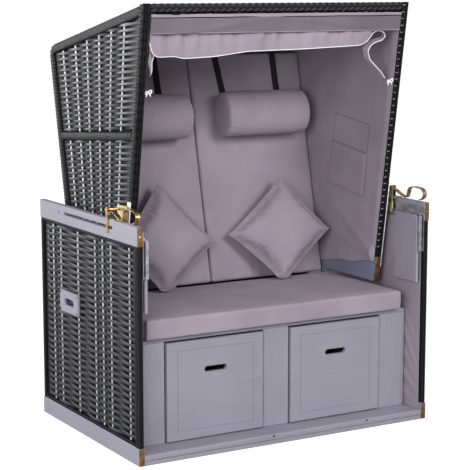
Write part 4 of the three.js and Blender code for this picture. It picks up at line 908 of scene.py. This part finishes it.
# Ties: short round cords of the same white as the piping, which hold the awning to each front post.
# Each is tied by hand in a small tight bow, with two loops, two ends and a knot.
def bow(name, knot):
    """A tight bow of cord: two loops, two ends and the knot"""
    loops = []
    for turn, reach in ((0.5, 0.013), (-0.45, 0.012)):
        path = []
        for share in np.linspace(0, 1, 15):
            swing = math.sin(math.pi * share)
            out = reach * swing * (1 if turn > 0 else -1)
            path.append((knot[0] + out * 0.9, knot[1] - 0.004 * swing,
                         knot[2] + 0.005 * math.sin(2 * math.pi * share) + turn * 0.006 * swing))
        loops.append(cord_along(path, 0.0026, f"{name}_loop", white_trim, "hood"))
    for side, drop in ((-1, 0.015), (1, 0.013)):
        path = [knot, (knot[0] + side * 0.006, knot[1] - 0.004, knot[2] - drop * 0.45),
                (knot[0] + side * 0.008, knot[1] - 0.002, knot[2] - drop)]
        loops.append(cord_along(path, 0.0022, f"{name}_tail", white_trim, "hood"))
    bpy.ops.mesh.primitive_uv_sphere_add(segments=16, ring_count=10, radius=0.0042, location=knot)
    loops.append(bpy.context.object)
    for piece in loops:
        taken_off(piece)
    return finished(joined(loops), name, white_trim, "hood", angle=80)


bow("right_bow", (0.4845, -0.283, 1.238))
bow("left_bow", (-0.4835, -0.273, 1.228))


# Seat cushion: a boxed foam slab in a sewn cover of the same cloth, loose on the seat board.
# Its upper edge is a crisp welted seam, and the cover is a little full, so the faces crown and the corners tuck.
def boxed(low, high, edge):
    """A closed box between two corners, with its edges rounded over"""
    bpy.ops.mesh.primitive_cube_add(size=1)
    piece = bpy.context.object
    middle, size = (np.array(low) + high) / 2, np.array(high) - low
    move_points(piece, points_of(piece) * size + middle)
    apply_modifier(piece, "BEVEL", width=edge, segments=3)
    return piece


settled_frame = 20


def stuffed(piece, limit, voxel, pressure=4.0):
    """Blows a closed form up from inside as cloth, holds back each point's way, and smooths the cover"""
    if voxel:
        apply_modifier(piece, "REMESH", mode="VOXEL", voxel_size=voxel)
    start = points_of(piece)
    cover = piece.modifiers.new("cover", "CLOTH")
    cover.settings.quality, cover.settings.mass = 4, 0.3
    cover.settings.tension_stiffness = cover.settings.compression_stiffness = 20
    cover.settings.bending_stiffness = 0.3
    cover.settings.use_pressure, cover.settings.uniform_pressure_force = True, pressure
    cover.settings.effector_weights.gravity = 0
    cover.point_cache.frame_start, cover.point_cache.frame_end = 1, settled_frame
    for number in range(1, settled_frame + 1):
        bpy.context.scene.frame_set(number)
    select(piece)
    bpy.ops.object.modifier_apply(modifier="cover")
    bpy.context.scene.frame_set(1)
    way = points_of(piece) - start
    far = np.maximum(np.linalg.norm(way, axis=1), 1e-9)[:, None]
    move_points(piece, start + way / far * limit * np.tanh(far / limit))
    apply_modifier(piece, "SUBSURF", levels=1, render_levels=1)
    return piece


def slab(low, high, margin, edge, limit, voxel):
    """Foam in its cover: starts inside its box, is stuffed, and is stretched until it reaches the box's sides"""
    piece = stuffed(boxed(low + margin, high - (margin, margin, margin + 0.001), edge), limit, voxel)
    points = points_of(piece)
    least, most = points.min(axis=0), points.max(axis=0)
    move_points(piece, low + (points - least) / (most - least) * (high - low))
    return piece


def welted(piece, low, high, top, width, depth):
    """Draws the seam round the upper face in, and presses the cover flat where it would pass its box"""
    points, normals = points_of(piece), rows_of(piece.data.vertices, "normal")
    sides = np.min(np.minimum(points[:, :2] - low[:2], high[:2] - points[:, :2]), axis=1)
    near = bell(np.hypot(np.maximum(sides, 0), points[:, 2] - top), width)[:, None]
    move_points(piece, np.clip(points - normals * near * depth, low, high))


seat_low, seat_high = np.array([-0.5217, -0.3268, 0.4014]), np.array([0.5217, 0.1496, 0.4768])
cushion_form = slab(seat_low, seat_high, 0.003, 0.003, 0.004, 0.007)
points = points_of(cushion_form)
front_share = unit((seat_low[1] + 0.03 - points[:, 1]) / 0.03)
corner_share = bell(0.522 - np.abs(points[:, 0]), 0.05)
tucks = np.sin(points[:, 0] * 260 + points[:, 2] * 190) * 0.0016 * corner_share
tucks *= unit((0.455 - points[:, 2]) / 0.05)
soft = ripple(points, 5.5, 1.9) * 0.0013
points[:, 1] += front_share * (tucks + soft)
points[:, 2] += unit((points[:, 2] - 0.45) / 0.02) * soft
move_points(cushion_form, points)
welted(cushion_form, seat_low, seat_high, 0.4705, 0.0032, 0.0016)
cushion_form = finished(cushion_form, "seat_pad", taupe, "root", angle=60)
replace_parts(cushion_form, "seat_cushion")


# Back of the seat: two foam pads in sewn covers stand side by side on the board, with sharp square corners.
# A round neck roll hangs in front of each, stuffed tight, from a black webbing strap that goes over the top.
# The back's lean from upright, and how thick its pads are
LEAN, THICK = math.radians(12.7), 0.055
up, out = Vector((0, math.sin(LEAN), math.cos(LEAN))), Vector((0, -math.cos(LEAN), math.sin(LEAN)))
foot = Vector((0, 0.1551, 0.484)) - out * (THICK + 0.0003)
on_back = Matrix.Translation(foot) @ Matrix((Vector((1, 0, 0)), up, out)).transposed().to_4x4()
pad_low, pad_high = np.array([0.0012, -0.0075, 0.0004]), np.array([0.4945, 0.8560, 0.0546])
pad_form = slab(pad_low, pad_high, 0.002, 0.004, 0.003, 0.0078)
points = points_of(pad_form)
lower = bell(points[:, 1], 0.035)
gather = np.sin(points[:, 0] * 120 + np.sin(points[:, 0] * 37) * 2) * 0.0016 * lower
points[:, 2] += unit((points[:, 2] - 0.03) / 0.02) * (ripple(points, 4.0, 5.2) * 0.0016 + gather)
move_points(pad_form, points)
welted(pad_form, pad_low, pad_high, 0.050, 0.003, 0.0014)
pad_form.data.transform(on_back)
pad_form = finished(pad_form, "right_backrest_pad", taupe, "hood", angle=60)
for piece, side in ((pad_form, "right"), (mirrored(pad_form, "left_backrest_pad", "hood"), "left")):
    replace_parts(piece, f"{side}_back_pad")

# ROLL_UP is where a roll's middle lies up the pad, and ROLL_STRETCH how much higher than deep the roll is
ROLL_RADIUS, ROLL_UP, ROLL_LENGTH, ROLL_STRETCH = 0.0735, 0.6138, 0.3650, 1.22


def neck_roll(side, start, seed):
    """A bolster: gathered where its cover meets the end discs, with a small tuft on top"""
    bpy.ops.mesh.primitive_cylinder_add(vertices=96, radius=ROLL_RADIUS - 0.004, depth=ROLL_LENGTH - 0.006,
                                        rotation=(0, math.pi / 2, 0))
    form = bpy.context.object
    bpy.ops.object.transform_apply(location=False, rotation=True, scale=False)
    apply_modifier(form, "BEVEL", width=0.013, segments=4)
    form = stuffed(form, 0.005, 0.0055)
    points = points_of(form)
    angle = np.arctan2(points[:, 2], points[:, 1])
    end = np.exp(-(ROLL_LENGTH / 2 - np.abs(points[:, 0])) / 0.02)
    folds = 0.5 + 0.5 * np.sin(angle * 21 + np.sin(angle * 5 + seed) * 1.5)
    slim = 1 - 0.05 * end * folds - 0.035 * unit(points[:, 0] / ROLL_LENGTH * 2) ** 3
    tuft = bell(points[:, 0], 0.0045) * bell(angle - 1.45, 0.2) * 0.06
    points[:, 1:] *= (slim - tuft)[:, None]
    points[:, 1:] += (ripple(points, 8.0, seed) * 0.001)[:, None]
    points[:, 2] = np.maximum(points[:, 2], 0.0008 - ROLL_RADIUS)
    points[:, 1] *= ROLL_STRETCH
    move_points(form, points)
    form.data.transform(on_back @ Matrix.Translation((start + ROLL_LENGTH / 2, ROLL_UP, THICK + ROLL_RADIUS)))
    form = finished(form, f"{side}_roll", taupe, "hood", angle=60)
    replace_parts(form, f"{side}_neck_roll")


neck_roll("right", 0.0740, 2.6)
neck_roll("left", -0.4330, 6.1)

webbing = cloth_material("black webbing", "151417", "1d1b20", "26242a")


def strap(side, part, low_x, high_x):
    """Flat webbing from behind a roll up the pad, over its upper edge and down to the board"""
    path = [(ROLL_UP + 0.045, THICK + 0.0046), (ROLL_UP + 0.075, THICK + 0.007), (ROLL_UP + 0.11, THICK + 0.003),
            (0.76, THICK + 0.0018), (0.850, THICK + 0.0014), (0.8575, THICK - 0.002), (0.8590, THICK - 0.008),
            (0.8590, 0.006)]
    along = np.concatenate([[0], np.cumsum([math.dist(a, b) for a, b in zip(path, path[1:])])])

    def place(u, v):
        up_share = np.interp(v * along[-1], along, [p[0] for p in path])
        out_share = np.interp(v * along[-1], along, [p[1] for p in path])
        middle = np.interp(up_share, (path[0][0], 0.85), (low_x, high_x))
        local = as_points(middle + (u - 0.5) * 0.026, up_share, out_share)
        return np.array([on_back @ Vector(point) for point in local])

    finished(cloth_sheet(8, 120, place, thickness=0.0014), f"{side}_strap_{part}", webbing, "hood")


strap("right", "inner", 0.137, 0.113)
strap("right", "outer", 0.373, 0.371)
strap("left", "inner", -0.141, -0.147)
strap("left", "outer", -0.375, -0.381)


# Throw pillows: two square covers of the same cloth, sewn round four sides and stuffed full. Each stands on
# a corner and leans on the back, with gathers along its seams and drawn-out points.
# How far a pillow leans back, half its thickness, and below its middle the line where its corner is squashed
PILLOW_LEAN, PILLOW_HALF, PILLOW_FLAT = math.radians(17), 0.052, -0.168


def pillow_form(corners, seed):
    """A cover laid flat; corners are its left, lower, right and upper points, seen from the front"""
    bpy.ops.mesh.primitive_grid_add(x_subdivisions=84, y_subdivisions=84, size=2)
    piece = bpy.context.object
    apply_modifier(piece, "SOLIDIFY", thickness=0.01, offset=0)
    local = points_of(piece)
    a, b = local[:, 0], local[:, 1]
    face = np.sign(local[:, 2])
    pulled_a, pulled_b = a * (1 - 0.035 * (1 - b ** 2)), b * (1 - 0.035 * (1 - a ** 2))
    plump = ((1 - a ** 2) * (1 - b ** 2)) ** 0.55
    nearest = np.maximum(np.abs(a), np.abs(b))
    along = np.where(np.abs(a) > np.abs(b), b, a)
    gathers = np.sin(along * 31 + np.sin(along * 9 + seed) * 2.5) * np.exp(-(1 - nearest) / 0.13)
    gathers *= 1 - np.exp(-(1 - nearest) / 0.02)
    height = PILLOW_HALF * plump + 0.0035 * gathers + 0.0006
    flat = between(corners, (1 + pulled_a) / 2, (1 + pulled_b) / 2)
    move_points(piece, np.column_stack([flat, face * height]))
    return piece


def thrown(side, corners, at, yaw, seed):
    """A pillow in its place. It stands on its lower corner, flattened there by its own weight, and leans back"""
    form = pillow_form(corners, seed)
    rim = unit(1 - np.abs(points_of(form)[:, 2]) / PILLOW_HALF)[:, None]
    form = stuffed(form, 0.003 + 0.019 * (1 - rim ** 3), None, pressure=6.0)
    points = points_of(form)
    points[:, 2] = np.clip(points[:, 2] + ripple(points, 9.0, seed) * 0.0015, -0.0636, 0.0636)
    under = np.maximum(PILLOW_FLAT - points[:, 1], 0)
    points[:, 0] += under * (points[:, 0] - corners[1][0]) * 14
    points[:, 1] = np.where(under > 0, PILLOW_FLAT - 0.028 * np.tanh(under / 0.028), points[:, 1])
    move_points(form, points)
    turn = Matrix.Rotation(math.radians(yaw), 4, "Z") @ Matrix.Rotation(math.pi / 2 - PILLOW_LEAN, 4, "X")
    stand = 0.476 + 0.198 * math.cos(PILLOW_LEAN)
    form.data.transform(Matrix.Translation((*at, stand)) @ turn)
    made = finished(form, f"{side}_pillow", taupe, "root", angle=60)
    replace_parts(made, f"{side}_throw_pillow")


thrown("right", [(-0.203, -0.014), (0.004, -0.214), (0.217, -0.012), (0.036, 0.206)], (0.2618, 0.1171), -10.5, 1.3)
thrown("left", [(-0.207, -0.02), (-0.032, -0.216), (0.219, -0.03), (0.010, 0.217)], (-0.2218, 0.1131), 4, 4.1)


# Screws and straps that hold the boards: dark steel heads with a cross recess on the grips and the sill, a
# bright plated rivet in each upper cap, and on the front edge of each hood board a brass strap with one screw.
dark_steel = metal("dark screw head", "3a3a40", "5c5c62", 0.4)
FRONT_Y = -0.3954


def screw(name, at, axis, radius, material, body):
    """A low round head with a cross recess, which faces along an axis"""
    bpy.ops.mesh.primitive_cylinder_add(vertices=24, radius=radius, depth=0.0016)
    head = bpy.context.object
    apply_modifier(head, "BEVEL", width=0.0005, segments=2, limit_method="ANGLE")
    for turn in (0, math.pi / 2):
        bpy.ops.mesh.primitive_cube_add(size=1, scale=(radius * 1.1, radius * 0.28, 0.0012), location=(0, 0, 0.001),
                                        rotation=(0, 0, turn + 0.4))
        cutter = bpy.context.object
        apply_modifier(head, "BOOLEAN", object=cutter, operation="DIFFERENCE", solver="EXACT")
        bpy.data.objects.remove(cutter)
    head.matrix_world = Matrix.Translation(at) @ Vector(axis).to_track_quat("Z", "Y").to_matrix().to_4x4()
    return finished(head, name, material, body, angle=35)


for side, way in SIDES:
    for number, (y, z) in enumerate(((0.080, 0.429), (0.217, 0.429), (0.217, 0.489), (0.080, 0.489))):
        screw(f"{side}_grip_screw_{number}", (way * 0.5924, y, z), (way, 0, 0), 0.0034, dark_steel, "root")
for number, (x, z) in enumerate(((-0.0655, 0.0290), (0.3275, 0.0300))):
    screw(f"sill_screw_{number}", (x, FRONT_Y, z), (0, -1, 0), 0.0032, dark_steel, "root")
for side, way in SIDES:
    screw(f"{side}_cap_rivet", (way * POST_X, FRONT_Y, 0.7705), (0, -1, 0), 0.0034, bright_plate, "root")
for side, way in SIDES:
    bpy.ops.mesh.primitive_cube_add(size=1)
    plate = bpy.context.object
    corners = points_of(plate) + 0.5
    height = 0.484 + corners[:, 2] * 0.095
    move_points(plate, as_points(way * (0.5035 + 0.0215 * corners[:, 0]),
                                 at_height(*front_line, height, -0.0003) - 0.0014 * corners[:, 1], height))
    apply_modifier(plate, "BEVEL", width=0.0004, segments=2)
    edited(plate, FACE_OUT)
    finished(plate, f"{side}_foot_strap", brass, "hood")
    screw(f"{side}_foot_screw", (way * 0.514, at_height(*front_line, 0.531, -0.0021), 0.531), (0, -0.99, -0.15),
          0.0042, brass, "hood")


# Lining of the base sides: one flat sheet of the same cloth on each side of the seat, tacked along its edges
# behind the weave, with a turned hem along the top. Slack draws into slanting folds beside the seat's front.
# Each fold has its height, its slope, its width and how far it stands out.
base_folds = ((0.075, 0.6, 0.012, 0.0045), (0.140, 0.8, 0.013, 0.0082), (0.205, 1.3, 0.015, 0.0068),
              (0.275, 1.9, 0.017, 0.0078), (0.345, 1.5, 0.014, 0.0048))
sheet_front = -0.3812


def base_lining_place(u, v):
    """Where a point of the lining lies, from its rim to the folds at its lower front"""
    y, z = sheet_front + u * 0.7572, 0.0348 + v * 0.7027
    slack = unit(1.15 - (y - sheet_front) / 0.15)
    folds = sum(proud * bell(z - height - (y + 0.32) * steep, width) for height, steep, width, proud in base_folds)
    rim = unit(np.minimum(np.minimum(u, 1 - u), np.minimum(v, 1 - v)) * 16)
    soft = ripple(as_points(y, z, 0 * y), 6.0, 7.7)
    hem = bell((1 - v) * 40 - 1) * 0.0009
    return as_points(0.5651 - hem - rim * (0.0009 + 0.0007 * soft + folds * slack), y, z)


for side, way in SIDES:
    made = cloth_sheet(84, 72, lambda u, v: base_lining_place(u, v) * (way, 1, 1), thickness=0.0018)
    made = finished(made, f"{side}_base_sheet", taupe, "root")
    # The outer face is black as painted shade behind the weave.
    faced(made, (way, 0, 0), shade_black_back)
    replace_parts(made, f"{side}_base_lining")
